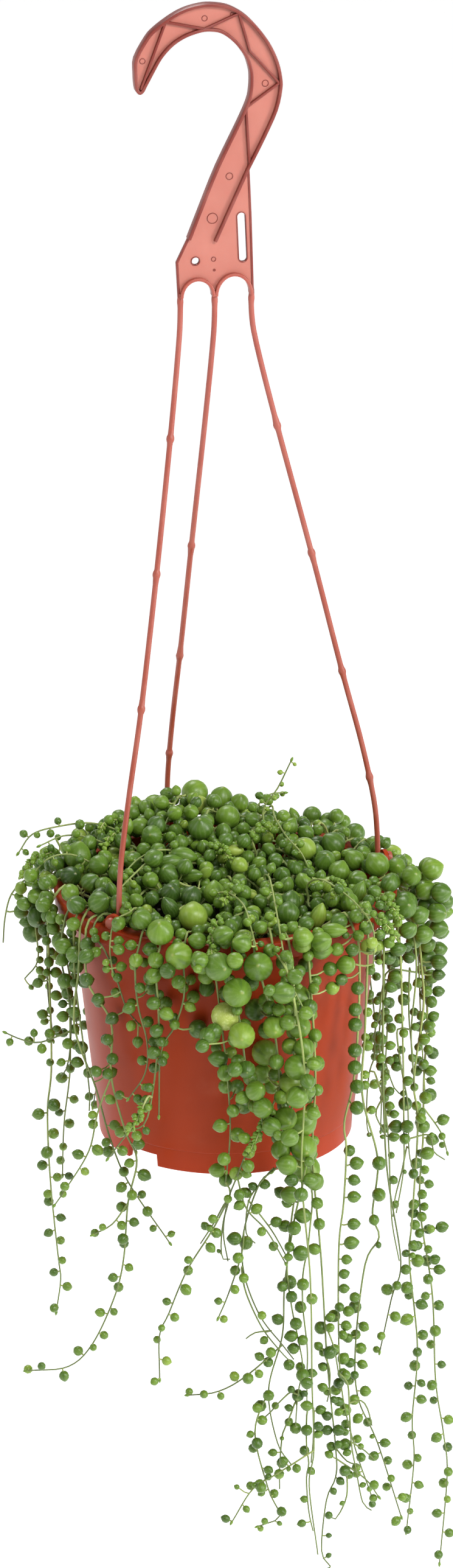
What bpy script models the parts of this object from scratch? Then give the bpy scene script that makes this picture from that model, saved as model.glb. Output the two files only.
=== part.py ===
"""Potted string of pearls: a trailing succulent in a tapered plastic pot on a three-arm hanger.

The origin is the saddle of the hook, where the object hangs. +Z is up, -Y is the front and +X the
right. Sizes here are millimetres, and MM turns them into Blender's metres when a mesh is made.
A place round the pot is often given as an azimuth: 0 at the front, 90 at the right, 180 at the back.
A drop is a distance below the top of the rim, and across is a distance right of the pot's axis.
"""

import itertools
import math
import random
from collections import namedtuple

import bmesh
import bpy
from mathutils import Matrix, Vector
from mathutils.geometry import intersect_point_line

MM = 0.001

# Pot
POT_AXIS = 6.0  # how far right of the saddle the pot's axis hangs
RIM_TOP = -384.0  # height of the rim's flat top
RIM_RADIUS = 76.0
RIM_INNER = 68.4
RIM_THICK = 1.6
SKIRT_DROP = 8.0
NECK_RADIUS = 69.6
FOOT_RADIUS = 56.5
POT_HEIGHT = 116.0
WALL = 1.4
FLOOR_DROP = 106.0
FLOOR_THICK = 2.0
FOOT_WALL = 2.6
POT_SIDES = 32
LEDGE = 0.6  # the wall steps in by this much above the foot
NOTCH_WIDTH = 16.5
NOTCH_HEIGHT = 5.8
DRAIN_RADIUS = 4.0
DRAIN_CIRCLE = 33.0
DRAIN_COUNT = 5

# Lugs on the rim and the pegs that snap through them
ARM_AZIMUTHS = (-40.7, 107.5, 202.0)
LUG_WIDTH = 9.0
LUG_HEIGHT = 6.8
LUG_THICK = 1.8
LUG_RADIUS = 74.1  # middle of the lug's thickness, from the pot's axis
PEG_RISE = 3.2  # height of the peg above the rim
PEG_RADIUS = 1.3
PEG_GAP = 0.4

# Hook plate
PLATE_YAW = 12.0  # the plate is turned this far from facing the front
PLATE_DEPTH = 5.0
WEB_THICK = 1.3
FLANGE_WIDTH = 1.4
RIB_WIDTH = 1.1
RIB_DEPTH = 4.2
PLATE_FOOT = -113.6
RIB_END = (2.0, -91.6)  # the outer flange runs on across the plate to here
# the zigzag rib between the two flanges, each point (right, up) from the saddle
ZIGZAG = (
    (-28.8, -24.2),
    (-18.5, 6.2),
    (-1.1, 1.0),
    (11.6, 6.8),
    (15.6, -9.6),
    (28.0, -22.7),
    (14.6, -38.0),
    (14.4, -60.6),
)

# Arms
ARM_RADIUS = 1.2
ARM_SIDES = 5
ARM_END_RADIUS = 71.0  # from the pot's axis
ARM_TOLERANCE = 0.2
NODULE_RADIUS = 1.8
NODULE_HALF = 1.9
ARM_ROOTS = (-13.1, 16.9, 1.8)  # where each arm leaves the plate, in the order of ARM_AZIMUTHS
ARM_NODULES = ((-176.0, -233.5, -290.5), (-175.5, -235.0, -291.0, -342.0), (-238.0, -294.5, -346.0))
ARM_BULGES = (0.0, 0.08, 0.07)  # how far each arm's middle stands out beyond the sweep
TOP_NODULE = -117.5
# height of an arm's point, and how much of the way out from root to lug it has gone there
ARM_SWEEP = (
    (-111.0, 0.0),
    (-124.0, 0.0),
    (-138.0, 0.03),
    (-176.0, 0.16),
    (-235.0, 0.39),
    (-290.0, 0.63),
    (-325.0, 0.82),
    (-352.0, 0.95),
    (-368.0, 0.99),
    (-382.0, 1.0),
)

# Soil
SOIL_DROP = 10.0
SOIL_GAP = 0.6
SOIL_SIDES = 28
HOLE_RADIUS = 2.5
HOLE_SIDES = 3
HOLE_DEPTH = 9.0

# Plant
GAP = 0.35  # least distance between the stems and pearls of different nodes
ROOT_SUNK = 8.0
ROOT_RADII = (56.0, 63.0)  # the roots stand in two rings
STEM_RADIUS = 0.95
TIP_RADIUS = 0.65
STEM_SIDES = 3
STEM_TOLERANCE = 0.9
TIP_PEARL = 2.4
TOP_PEARL = 4.4
ROOT_DEPTH = 0.38  # a pearl's root lies this far under the stem's flat side
ROOT_MARGIN = 1.2  # and this far along from the stem's next bend
SPACING = 32.0
LOWEST_FREE = RIM_TOP - SOIL_DROP + 2.0  # below this a stem stands in its hole
CELL = 24.0
SEED = 11

# A strand crosses the rim at its azimuth and hangs at its depth, which is its distance behind the
# pot's axis, through points given as (across, drop). Each branch leaves it near the branch's first point.
Strand = namedtuple(
    "Strand",
    "name azimuth depth hanging largest spacing branches",
    defaults=(TOP_PEARL, SPACING, ()),
)
STRANDS = (
    Strand(
        "strand_left_1", -97, 10,
        ((-88, 2), (-95, 9), (-98, 20), (-99, 32)),
        largest=4.8, spacing=15,
    ),
    Strand(
        "strand_left_2", -85, -8,
        ((-81, 4), (-84, 15), (-83, 33), (-89, 42)),
        largest=4.8, spacing=17,
    ),
    Strand(
        "strand_left_3", -75, -25,
        ((-78, 11), (-77, 74), (-79, 99), (-78, 134), (-75, 171), (-74, 182), (-76, 197)),
    ),
    Strand(
        "strand_left_4", -62, -40,
        ((-72, 20), (-68, 45), (-69, 68), (-73, 77)),
        branches=(
            ((-68, 54), (-81, 59), (-89, 58), (-96, 55)),
        ),
    ),
    Strand(
        "strand_left_5", -56.5, -47,
        ((-66, 24), (-64, 45), (-60, 78), (-60, 89)),
        largest=4.6, spacing=25,
    ),
    Strand(
        "strand_left_6", -53, -52,
        ((-64, 20), (-66, 47), (-57, 77), (-51, 101), (-43, 122), (-25, 150)),
        largest=4.2, spacing=30,
    ),
    Strand(
        "strand_left_7", -50, -57,
        ((-60, 25), (-50, 44), (-50, 69), (-44, 94), (-39, 108), (-43, 129), (-45, 156),
         (-49, 175), (-59, 198), (-70, 209), (-88, 211)),
        spacing=30,
        branches=(
            ((-43, 129), (-50, 139), (-58, 144)),
            ((-50, 69), (-56, 85), (-60, 103), (-70, 121), (-75, 129)),
        ),
    ),
    Strand(
        "strand_front_1", -47, -62,
        ((-52, 8), (-48, 18), (-43, 34), (-38, 41)),
        largest=3, spacing=20,
    ),
    Strand(
        "strand_front_2", -28, -72,
        ((-39, 10), (-38, 28), (-34, 46), (-35, 61), (-42, 73)),
        largest=4.8, spacing=22,
    ),
    Strand(
        "strand_front_3", -21, -76,
        ((-30, 10), (-29, 42), (-34, 81), (-42, 88), (-51, 100)),
        largest=4.6, spacing=25,
    ),
    Strand(
        "strand_front_4", -13, -79,
        ((-18, 10), (-18, 23), (-22, 37), (-28, 49), (-29, 78)),
        largest=6, spacing=19,
    ),
    Strand(
        "strand_front_5", -5, -80,
        ((-5, 8), (0, 51), (2, 83), (0, 109)),
        largest=6.2, spacing=20,
    ),
    Strand(
        "strand_front_6", 2, -86,
        ((1, 8), (6, 30), (10, 60), (16, 78), (10, 90), (5, 104), (1, 116), (-1, 131), (1, 145)),
        largest=6.4, spacing=23,
        branches=(
            ((1, 117), (-6, 130), (-17, 149), (-25, 169), (-29, 179), (-29, 199)),
            ((5, 104), (9, 119), (18, 130), (26, 145)),
        ),
    ),
    Strand(
        "strand_front_7", 9, -81,
        ((14, 8), (21, 36), (24, 70), (24, 99), (15, 110), (8, 133), (8, 152), (15, 172),
         (25, 186), (30, 193)),
        largest=6.4, spacing=23,
        branches=(
            ((24, 186), (13, 197), (3, 205), (-6, 209), (-16, 210)),
            ((8, 133), (7, 143), (1, 162), (-3, 172)),
        ),
    ),
    Strand(
        "strand_front_8", 15, -92,
        ((27, 8), (34, 50), (33, 100), (37, 150), (38, 200), (39, 233), (37, 251), (41, 285)),
        largest=6.2, spacing=26,
        branches=(
            ((38, 232), (23, 244), (12, 252), (3, 268)),
        ),
    ),
    Strand(
        "strand_front_9", 20.5, -77,
        ((29, 10), (30, 40), (29, 80), (35, 100), (30, 130), (26, 160), (25, 184), (19, 210),
         (23, 236), (29, 247)),
        largest=6, spacing=26,
        branches=(
            ((19, 210), (13, 230), (19, 259), (24, 273), (15, 278)),
        ),
    ),
    Strand(
        "strand_front_10", 26, -71,
        ((36, 10), (39, 60), (38, 100), (42, 150), (45, 200), (49, 242), (49, 256), (45, 268),
         (43, 294), (47, 302)),
        largest=5.6, spacing=28,
        branches=(
            ((49, 248), (62, 256), (68, 265)),
        ),
    ),
    Strand(
        "strand_right_1", 45, -57,
        ((58, 10), (58, 40), (56, 70), (52, 90), (53, 103), (52, 130), (50, 155), (51, 212),
         (57, 245), (66, 275)),
        largest=4.6, spacing=31,
    ),
    Strand(
        "strand_right_2", 51, -50,
        ((62, 10), (61, 50), (60, 80), (67, 111), (65, 138), (68, 150), (62, 163), (58, 200),
         (59, 226), (68, 249), (79, 287)),
        largest=4.6, spacing=31,
    ),
    Strand(
        "strand_right_3", 58, -43,
        ((69, 10), (69, 60), (70, 97), (72, 125), (78, 165), (74, 182), (69, 207)),
        largest=4.6, spacing=28,
    ),
    Strand(
        "strand_right_4", 66, -33,
        ((76, 12), (78, 60), (79, 104), (79, 125), (76, 145)),
        largest=5, spacing=24,
    ),
    Strand(
        "strand_right_5", 72, -24,
        ((81, 8), (84, 30), (82, 62), (84, 90)),
        largest=5.2, spacing=20,
    ),
    Strand(
        "strand_right_6", 88, -5,
        ((84, 10), (87, 39), (88, 58), (84, 92), (86, 113), (84, 161), (83, 182), (87, 224),
         (85, 259), (86, 281), (83, 318)),
        largest=4.8, spacing=31,
    ),
    Strand(
        "strand_right_7", 95, 12,
        ((84, 10), (90, 60), (89, 100), (89, 128), (88, 163), (94, 205), (96, 248), (100, 276),
         (102, 298), (99, 342)),
        largest=4.8, spacing=31,
        branches=(
            ((90, 114), (97, 126), (100, 136)),
        ),
    ),
    Strand(
        "strand_right_8", 101.5, 25,
        ((82, 8), (86, 40), (88, 80), (90, 110)),
        largest=5.4, spacing=20,
    ),
)

# The strands round the back follow a rule
BACK_ARCS = ((114.0, 191.5, 11), (207.0, 252.0, 7))  # from and to these azimuths, and how many
BACK_LENGTHS = (55.0, 165.0)
BACK_OUT = 83.0
BACK_SEED = 6

# Clumps of the crown: azimuth, distance from the axis, radius and half height of the core, pearls
CLUMPS = (
    (0.0, 0.0, 13.0, 8.0, 17),
    (18.0, 36.0, 9.5, 5.5, 11),
    (63.0, 36.0, 9.5, 6.5, 11),
    (108.0, 36.0, 9.5, 7.0, 11),
    (198.0, 36.0, 9.5, 9.0, 11),
    (243.0, 36.0, 9.5, 9.0, 11),
    (288.0, 36.0, 9.5, 7.5, 11),
    (333.0, 36.0, 9.5, 5.0, 11),
)
SHOOT_CLUMP = (153.0, 36.0, 9.5, 7.5, 12)
SHOOT = ((17, -14), (17, -23), (23, -32), (29, -45))
SHOOT_PEARL = 2.0
CLUMP_PEARLS = (4.6, 6.4)


def clear_scene():
    for block in list(bpy.data.objects):
        bpy.data.objects.remove(block)


def make_material(name, colour, roughness):
    material = bpy.data.materials.new(name)
    material.use_nodes = True
    shader = material.node_tree.nodes["Principled BSDF"]
    shader.inputs["Base Color"].default_value = (*colour, 1.0)
    shader.inputs["Roughness"].default_value = roughness
    shader.inputs["Metallic"].default_value = 0.0
    return material


def new_object(name, shape, material=None, matrix=None):
    """Makes an object from a bmesh in millimetres, and frees the bmesh."""
    if matrix is not None:
        bmesh.ops.transform(shape, matrix=matrix, verts=shape.verts)
    bmesh.ops.scale(shape, vec=(MM, MM, MM), verts=shape.verts)
    bmesh.ops.recalc_face_normals(shape, faces=shape.faces)
    mesh = bpy.data.meshes.new(name)
    shape.to_mesh(mesh)
    shape.free()
    made = bpy.data.objects.new(name, mesh)
    bpy.context.scene.collection.objects.link(made)
    if material:
        mesh.materials.append(material)
    return made


def combine(base, others, operation):
    """Joins the other objects to the base, or cuts them from it, and removes them."""
    group = bpy.data.collections.new("operands")
    bpy.context.scene.collection.children.link(group)
    for other in others:
        bpy.context.scene.collection.objects.unlink(other)
        group.objects.link(other)
    modifier = base.modifiers.new("combine", "BOOLEAN")
    modifier.operation = operation
    modifier.operand_type = "COLLECTION"
    modifier.collection = group
    modifier.solver = "EXACT"
    graph = bpy.context.evaluated_depsgraph_get()
    result = bpy.data.meshes.new_from_object(base.evaluated_get(graph))
    base.modifiers.clear()
    old = base.data
    result.name = old.name
    base.data = result
    bpy.data.meshes.remove(old)
    for other in others:
        bpy.data.objects.remove(other)
    bpy.data.collections.remove(group)


def around(azimuth, radius, drop=0.0):
    """The point at an azimuth in degrees and a radius from the pot's axis, at a drop below the rim."""
    turn = math.radians(azimuth)
    return Vector((POT_AXIS + radius * math.sin(turn), -radius * math.cos(turn), RIM_TOP - drop))


def facing(azimuth, radius, drop=0.0):
    """A frame at that point: X along the rim, Y outwards from the axis, Z up."""
    turn = math.radians(azimuth)
    out = Vector((math.sin(turn), -math.cos(turn), 0.0))
    along = out.cross(Vector((0.0, 0.0, 1.0)))
    frame = Matrix((along, out, (0.0, 0.0, 1.0))).transposed().to_4x4()
    return Matrix.Translation(around(azimuth, radius, drop)) @ frame


def prism(outline, depth):
    """An outline in the XZ plane, extruded by depth, half to each side of Y = 0."""
    shape = bmesh.new()
    front = shape.faces.new([shape.verts.new((u, -depth / 2, v)) for u, v in outline])
    pushed = bmesh.ops.extrude_face_region(shape, geom=[front], use_keep_orig=True)
    moved = [item for item in pushed["geom"] if isinstance(item, bmesh.types.BMVert)]
    bmesh.ops.translate(shape, verts=moved, vec=(0.0, depth, 0.0))
    return shape


def rod(start, end, radius, sides):
    """A straight bar with flat ends."""
    return tube([Vector(start), Vector(end)], [radius, radius], sides)


def tube(route, radii, sides):
    """A bar along a route, with its own radius at each point and flat ends."""
    shape = bmesh.new()
    rings = []
    for point, radius, (side, other) in zip(route, radii, cross_axes(route)):
        ring = []
        for step in range(sides):
            turn = 2 * math.pi * step / sides
            offset = side * math.cos(turn) + other * math.sin(turn)
            ring.append(shape.verts.new(point + offset * radius))
        rings.append(ring)
    for lower, upper in zip(rings, rings[1:]):
        for step in range(sides):
            after = (step + 1) % sides
            shape.faces.new((lower[step], lower[after], upper[after], upper[step]))
    shape.faces.new(rings[0])
    shape.faces.new(rings[-1])
    return shape


def cross_axes(route):
    """Two axes across the route at each point, which turn as little as they can from point to point."""
    side = (route[1] - route[0]).orthogonal().normalized()
    axes = []
    for place in range(len(route)):
        before = route[max(place - 1, 0)]
        after = route[min(place + 1, len(route) - 1)]
        along = (after - before).normalized()
        side = (side - along * side.dot(along)).normalized()
        axes.append((side, along.cross(side)))
    return axes


def turned(profile, sides):
    """A profile of (radius, drop) from axis to axis, turned about the Z axis."""
    shape = bmesh.new()
    line = [shape.verts.new((radius, 0.0, -drop)) for radius, drop in profile]
    for a, b in zip(line, line[1:]):
        shape.edges.new((a, b))
    bmesh.ops.spin(
        shape,
        geom=shape.verts[:] + shape.edges[:],
        axis=(0.0, 0.0, 1.0),
        cent=(0.0, 0.0, 0.0),
        angle=2 * math.pi,
        steps=sides,
        use_merge=True,
    )
    bmesh.ops.remove_doubles(shape, verts=shape.verts, dist=1e-4)
    return shape


def smooth_route(points, step=3.0):
    """A smooth curve through the points, as points about a step apart."""
    ends = [2 * points[0] - points[1], *points, 2 * points[-1] - points[-2]]
    route = [points[0]]
    for a, b, c, d in zip(ends, ends[1:], ends[2:], ends[3:]):
        count = max(1, round((c - b).length / step))
        for index in range(1, count + 1):
            t = index / count
            bend = 2 * b + t * (c - a) + t * t * (2 * a - 5 * b + 4 * c - d)
            route.append((bend + t * t * t * (3 * b - a - 3 * c + d)) / 2)
    return route


def thin_out(route, tolerance):
    """Drops the points of a route that lie within a tolerance of a straight run."""
    start, end = route[0], route[-1]
    far, worst = 0, tolerance
    for index in range(1, len(route) - 1):
        near, share = intersect_point_line(route[index], start, end)
        if share < 0.0:
            near = start
        elif share > 1.0:
            near = end
        away = (route[index] - near).length
        if away > worst:
            far, worst = index, away
    if not far:
        return [start, end]
    return thin_out(route[: far + 1], tolerance)[:-1] + thin_out(route[far:], tolerance)


def wall_radius(drop):
    """The outer radius of the pot's wall at a drop."""
    return NECK_RADIUS - (NECK_RADIUS - FOOT_RADIUS) * drop / POT_HEIGHT


def make_pot(plastic):
    """The pot: flat turned-over rim with three lugs, tapered wall, notched foot ring, drained floor."""
    skirt = RIM_RADIUS - 0.5
    profile = (
        (0.0, FLOOR_DROP + FLOOR_THICK),
        (FOOT_RADIUS - FOOT_WALL - 0.8, FLOOR_DROP + FLOOR_THICK),
        (FOOT_RADIUS - FOOT_WALL, POT_HEIGHT),
        (FOOT_RADIUS, POT_HEIGHT),
        (wall_radius(FLOOR_DROP) - LEDGE, FLOOR_DROP),
        (wall_radius(FLOOR_DROP), FLOOR_DROP - 0.5),
        (wall_radius(RIM_THICK), RIM_THICK),
        (skirt - 1.4, RIM_THICK),
        (skirt - 1.6, SKIRT_DROP),
        (skirt, SKIRT_DROP),
        (RIM_RADIUS, 0.8),
        (RIM_RADIUS - 0.8, 0.0),
        (RIM_INNER, 0.0),
        (wall_radius(FLOOR_DROP) - WALL - 0.4, FLOOR_DROP),
        (0.0, FLOOR_DROP),
    )
    at_rim = Matrix.Translation((POT_AXIS, 0.0, RIM_TOP))
    pot = new_object("hanging_pot", turned(profile, POT_SIDES), plastic, at_rim)
    half = LUG_WIDTH / 2
    lug = [(-half, -RIM_THICK / 2), (half, -RIM_THICK / 2)]
    for turn in half_turn(4):
        lug.append((half * math.cos(turn), LUG_HEIGHT - half + half * math.sin(turn)))
    lugs = []
    for azimuth in ARM_AZIMUTHS:
        lugs.append(new_object("lug", prism(lug, LUG_THICK), None, facing(azimuth, LUG_RADIUS)))
    combine(pot, lugs, "UNION")
    cutters = []
    for azimuth in ARM_AZIMUTHS:
        ends = [around(azimuth, LUG_RADIUS + side * 4.0, -PEG_RISE) for side in (-1, 1)]
        cutters.append(new_object("lug_hole", rod(*ends, PEG_RADIUS + PEG_GAP, 6)))
        half = NOTCH_WIDTH / 2
        top = NOTCH_HEIGHT - POT_HEIGHT
        notch = ((-half, top - 12.0), (half, top - 12.0), (half, top), (-half, top))
        cutters.append(new_object("notch", prism(notch, 12.0), None, facing(azimuth, FOOT_RADIUS - 1.5)))
    for index in range(DRAIN_COUNT):
        azimuth = 360.0 * (index + 0.5) / DRAIN_COUNT
        ends = [around(azimuth, DRAIN_CIRCLE, FLOOR_DROP + side * 6.0) for side in (-1, 1)]
        cutters.append(new_object("drain", rod(*ends, DRAIN_RADIUS, 6)))
    combine(pot, cutters, "DIFFERENCE")


def half_turn(count):
    """Angles from 0 to half a turn, both included."""
    return [math.pi * step / count for step in range(count + 1)]


def smooth_flat(points, steps):
    """A smooth line through flat points, with a few steps between each two."""
    ends = [Vector(point) for point in points]
    ends = [2 * ends[0] - ends[1], *ends, 2 * ends[-1] - ends[-2]]
    line = [tuple(points[0])]
    for a, b, c, d in zip(ends, ends[1:], ends[2:], ends[3:]):
        for index in range(1, steps + 1):
            t = index / steps
            bend = 2 * b + t * (c - a) + t * t * (2 * a - 5 * b + 4 * c - d)
            line.append(tuple((bend + t * t * t * (3 * b - a - 3 * c + d)) / 2))
    return line


def arch(middle, half_width, height):
    """The line of an arch in the foot of the plate, from right to left."""
    line = []
    for turn in half_turn(4):
        line.append((middle + half_width * math.cos(turn), PLATE_FOOT + height * math.sin(turn)))
    return line


def hook_edges():
    """The hook plate's edges clockwise from its tip, each as a line and whether it has a flange.

    The points are (right, up) from the saddle.
    """
    back = smooth_flat(
        (
            (-29.6, -27.4), (-32.6, -11.1), (-25.7, 2.2), (-17.3, 8.5), (0.0, 12.4),
            (12.5, 8.5), (23.6, -4.1), (29.8, -22.2),
        ),
        2,
    )
    belly = [(27.8, -32.5), (23.6, -44.1), (15.9, -61.0)]
    right_side = [(15.9, -61.0), (17.2, -79.7), (18.3, PLATE_FOOT)]
    right_arch = arch(9.9, 5.2, 6.0)
    left_arch = arch(-5.8, 4.9, 5.4)
    left_side = [(-14.6, PLATE_FOOT), (-14.8, -102.9), (-10.4, -90.4)]
    front = smooth_flat(
        (
            (-10.4, -90.4), (-5.4, -77.0), (1.4, -62.0), (11.6, -38.0), (15.9, -23.6), (15.0, -15.2),
            (11.5, -7.8), (6.0, -2.2), (0.0, 0.0), (-6.0, -0.6), (-13.0, -3.6), (-20.2, -11.4),
            (-29.6, -27.4),
        ),
        1,
    )
    return (
        (back + belly, True),
        (right_side, False),
        (right_arch, True),
        (left_arch, True),
        (left_side, False),
        (front, True),
    )


def moved_in(line, distance, closed=False):
    """A line moved to its right-hand side, which is the inside of a clockwise outline."""
    points = [Vector(point) for point in line]
    result = []
    for place, point in enumerate(points):
        before = points[place - 1] if closed or place else point
        after = points[(place + 1) % len(points)] if closed or place + 1 < len(points) else point
        normals = []
        for a, b in ((before, point), (point, after)):
            if (b - a).length > 0.0:
                along = (b - a).normalized()
                normals.append(Vector((along.y, -along.x)))
        middle = sum(normals, Vector((0.0, 0.0))).normalized()
        reach = distance / max(middle.dot(normals[0]), 0.5)
        result.append(tuple(point + middle * reach))
    return result


def make_plate(yaw, plastic):
    """The hook plate: a thin web with a deeper flange along most of its edge."""
    edges = hook_edges()
    outline = [point for line, flanged in edges for point in line]
    outline = [point for place, point in enumerate(outline) if point != outline[place - 1]]
    web = prism(moved_in(outline, FLANGE_WIDTH / 2, closed=True), WEB_THICK)
    plate = new_object("hanger", web, plastic, yaw)
    lines = [line for line, flanged in edges if flanged]
    lines[0] = [*lines[0], RIB_END]
    flanges = []
    for line in lines:
        flange = prism([*line, *moved_in(line, FLANGE_WIDTH)[::-1]], PLATE_DEPTH)
        flanges.append(new_object("flange", flange, None, yaw))
    return plate, flanges


def make_hanger(plastic):
    """The hanger: hook plate, ribs, three arms with nodules, and a headed peg at each arm's end."""
    yaw = Matrix.Rotation(math.radians(PLATE_YAW), 4, "Z")
    hanger, extras = make_plate(yaw, plastic)
    rib = prism([*moved_in(ZIGZAG, RIB_WIDTH / 2), *moved_in(ZIGZAG, -RIB_WIDTH / 2)[::-1]], RIB_DEPTH)
    extras.append(new_object("rib", rib, None, yaw))
    for azimuth, root, bulge, nodules in zip(ARM_AZIMUTHS, ARM_ROOTS, ARM_BULGES, ARM_NODULES):
        extras.append(new_object("arm", arm_shape(azimuth, root, bulge, (TOP_NODULE, *nodules))))
        peg_start = around(azimuth, ARM_END_RADIUS, -PEG_RISE)
        neck_end = around(azimuth, LUG_RADIUS + LUG_THICK / 2 + 1.0, -PEG_RISE)
        head_start = around(azimuth, LUG_RADIUS + LUG_THICK / 2 + PEG_GAP, -PEG_RISE)
        head_end = around(azimuth, LUG_RADIUS + LUG_THICK / 2 + 2.6, -PEG_RISE)
        extras.append(new_object("peg", rod(peg_start, neck_end, PEG_RADIUS, 5)))
        extras.append(new_object("peg_head", rod(head_start, head_end, PEG_RADIUS + 1.3, 5)))
    combine(hanger, extras, "UNION")
    hole = rod((-7.1, -6.0, -99.7), (-7.1, 6.0, -99.7), 1.6, 8)
    slot = prism(((11.2, -80.6), (12.8, -79.5), (14.5, -80.6), (15.2, -100.0), (13.6, -101.0), (11.9, -100.0)), 12.0)
    cutters = [new_object("hole", hole, None, yaw), new_object("slot", slot, None, yaw)]
    combine(hanger, cutters, "DIFFERENCE")


def arm_route(azimuth, root, bulge):
    """The points of one arm, from inside the plate's foot to just above the rim."""
    foot = Matrix.Rotation(math.radians(PLATE_YAW), 3, "Z") @ Vector((root, 0.0, 0.0))
    end = around(azimuth, ARM_END_RADIUS)
    line = []
    for height, share in ARM_SWEEP:
        point = foot.lerp(end, share + bulge * math.sin(math.pi * share))
        line.append(Vector((point.x, point.y, height)))
    return line


def arm_shape(azimuth, root, bulge, nodules):
    """One arm as a bar that swells at each nodule."""
    route = thin_out(smooth_route(arm_route(azimuth, root, bulge), 6.0), ARM_TOLERANCE)
    radii = [ARM_RADIUS] * len(route)
    for height in nodules:
        place = next(index for index, point in enumerate(route) if point.z < height)
        above, below = route[place - 1], route[place]
        middle = above.lerp(below, (above.z - height) / (above.z - below.z))
        along = (below - above).normalized() * NODULE_HALF
        first = place - 1 if (above - middle).length < 2 * NODULE_HALF else place
        last = place + 1 if (below - middle).length < 2 * NODULE_HALF else place
        route[first:last] = [middle - along, middle, middle + along]
        radii[first:last] = [ARM_RADIUS, NODULE_RADIUS, ARM_RADIUS]
    return tube(route, radii, ARM_SIDES)


class Room:
    """The stems and pearls that are placed, as balls kept in cells, so that near ones are found fast."""

    def __init__(self):
        self.cells = {}

    def cell(self, point):
        return tuple(math.floor(value / CELL) for value in point)

    def add(self, owner, point, radius):
        self.cells.setdefault(self.cell(point), []).append((owner, point, radius))

    def is_clear(self, owner, point, radius, gap=GAP):
        """Whether a ball keeps its gap to the pot, the soil and every ball of another owner."""
        if not clear_of_pot(point, radius + gap):
            return False
        x, y, z = self.cell(point)
        for right, back, up in itertools.product((-1, 0, 1), repeat=3):
            for other, place, size in self.cells.get((x + right, y + back, z + up), ()):
                if other != owner and (place - point).length < radius + size + gap:
                    return False
        return True


def clear_of_pot(point, reach):
    """Whether nothing of the pot or soil lies within reach of a point."""
    radius = math.hypot(point.x - POT_AXIS, point.y)
    drop = RIM_TOP - point.z
    beside = max(RIM_INNER - 0.6 - radius, radius - RIM_RADIUS, 0.0)
    above = max(-drop, drop - SKIRT_DROP, 0.0)
    if math.hypot(beside, above) < reach:
        return False
    if drop > POT_HEIGHT:
        return radius > FOOT_RADIUS or drop > POT_HEIGHT + reach
    if radius > RIM_INNER:
        return drop < 0.0 or radius > wall_radius(drop) + reach
    return drop < SOIL_DROP - reach


def fill_room_with_holder():
    """A room that already holds the arms and the lugs."""
    room = Room()
    for azimuth, root, bulge in zip(ARM_AZIMUTHS, ARM_ROOTS, ARM_BULGES):
        for point in smooth_route(arm_route(azimuth, root, bulge), 2.0):
            room.add("hanger", point, NODULE_RADIUS)
        for rise in (1.5, 4.0):
            room.add("hanging_pot", around(azimuth, LUG_RADIUS, -rise), LUG_WIDTH / 2 + 0.4)
    return room


def over_rim(azimuth, root_radius, rise):
    """The points of a strand from its root in the soil up over the rim."""
    line = (
        (root_radius, SOIL_DROP + ROOT_SUNK),
        (root_radius, SOIL_DROP - 1.0),
        ((root_radius + 67.6) / 2 - 1.2, 2.0),
        (67.6, -2.1),
        (73.0, -rise),
        (77.4, -1.6),
        (79.2, 2.0),
    )
    return [around(azimuth, radius, drop) for radius, drop in line]


def strand_route(strand, root_radius, rise, shift):
    """The whole route of a strand, with its hanging part shifted outwards."""
    points = over_rim(strand.azimuth, root_radius, rise)
    return smooth_route(points + hanging_points(strand, strand.hanging, shift))


def hanging_points(strand, places, shift):
    depth = strand.depth + math.copysign(shift, strand.depth)
    points = []
    for across, drop in places:
        sway = 2.0 * math.sin(drop / 23.0 + strand.azimuth)
        points.append(Vector((POT_AXIS + across, depth + sway, RIM_TOP - drop)))
    return points


def free_route(room, strand, root_radius, rise):
    """The strand's route with the least shift that keeps it clear of what is placed, and that shift."""
    for shift in range(0, 40, 2):
        route = strand_route(strand, root_radius, rise, shift)
        free = [point for point in route if point.z > LOWEST_FREE or outside(point)]
        if all(room.is_clear(strand.name, point, STEM_RADIUS) for point in free):
            return route, shift
    raise ValueError(strand.name + " finds no clear way")


def outside(point):
    """Whether a point lies out past the rim."""
    return math.hypot(point.x - POT_AXIS, point.y) > RIM_RADIUS


def stem_lines(room, strand, root_radius, rise):
    """The strand's main line and its branches' lines, which are added to the room."""
    main, shift = free_route(room, strand, root_radius, rise)
    lines = [main]
    for places in strand.branches:
        points = hanging_points(strand, places, shift + 1.5)
        start = min(main, key=lambda point: (point - points[0]).length)
        lines.append(smooth_route([start, *points[1:]]))
    for line in lines:
        for point in line:
            room.add(strand.name, point, STEM_RADIUS)
    return lines


def lengths_along(line):
    """The distance of each point of a line from its start."""
    return [0.0, *itertools.accumulate((b - a).length for a, b in zip(line, line[1:]))]


def tapered(line):
    """The points of a stem without those it can do without, and its radius at each."""
    route = thin_out(line, STEM_TOLERANCE)
    along = lengths_along(route)
    return route, [STEM_RADIUS + (TIP_RADIUS - STEM_RADIUS) * place / along[-1] for place in along]


def stem_shape(line):
    """A stem that tapers to its tip."""
    return tube(*tapered(line), STEM_SIDES)


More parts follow.
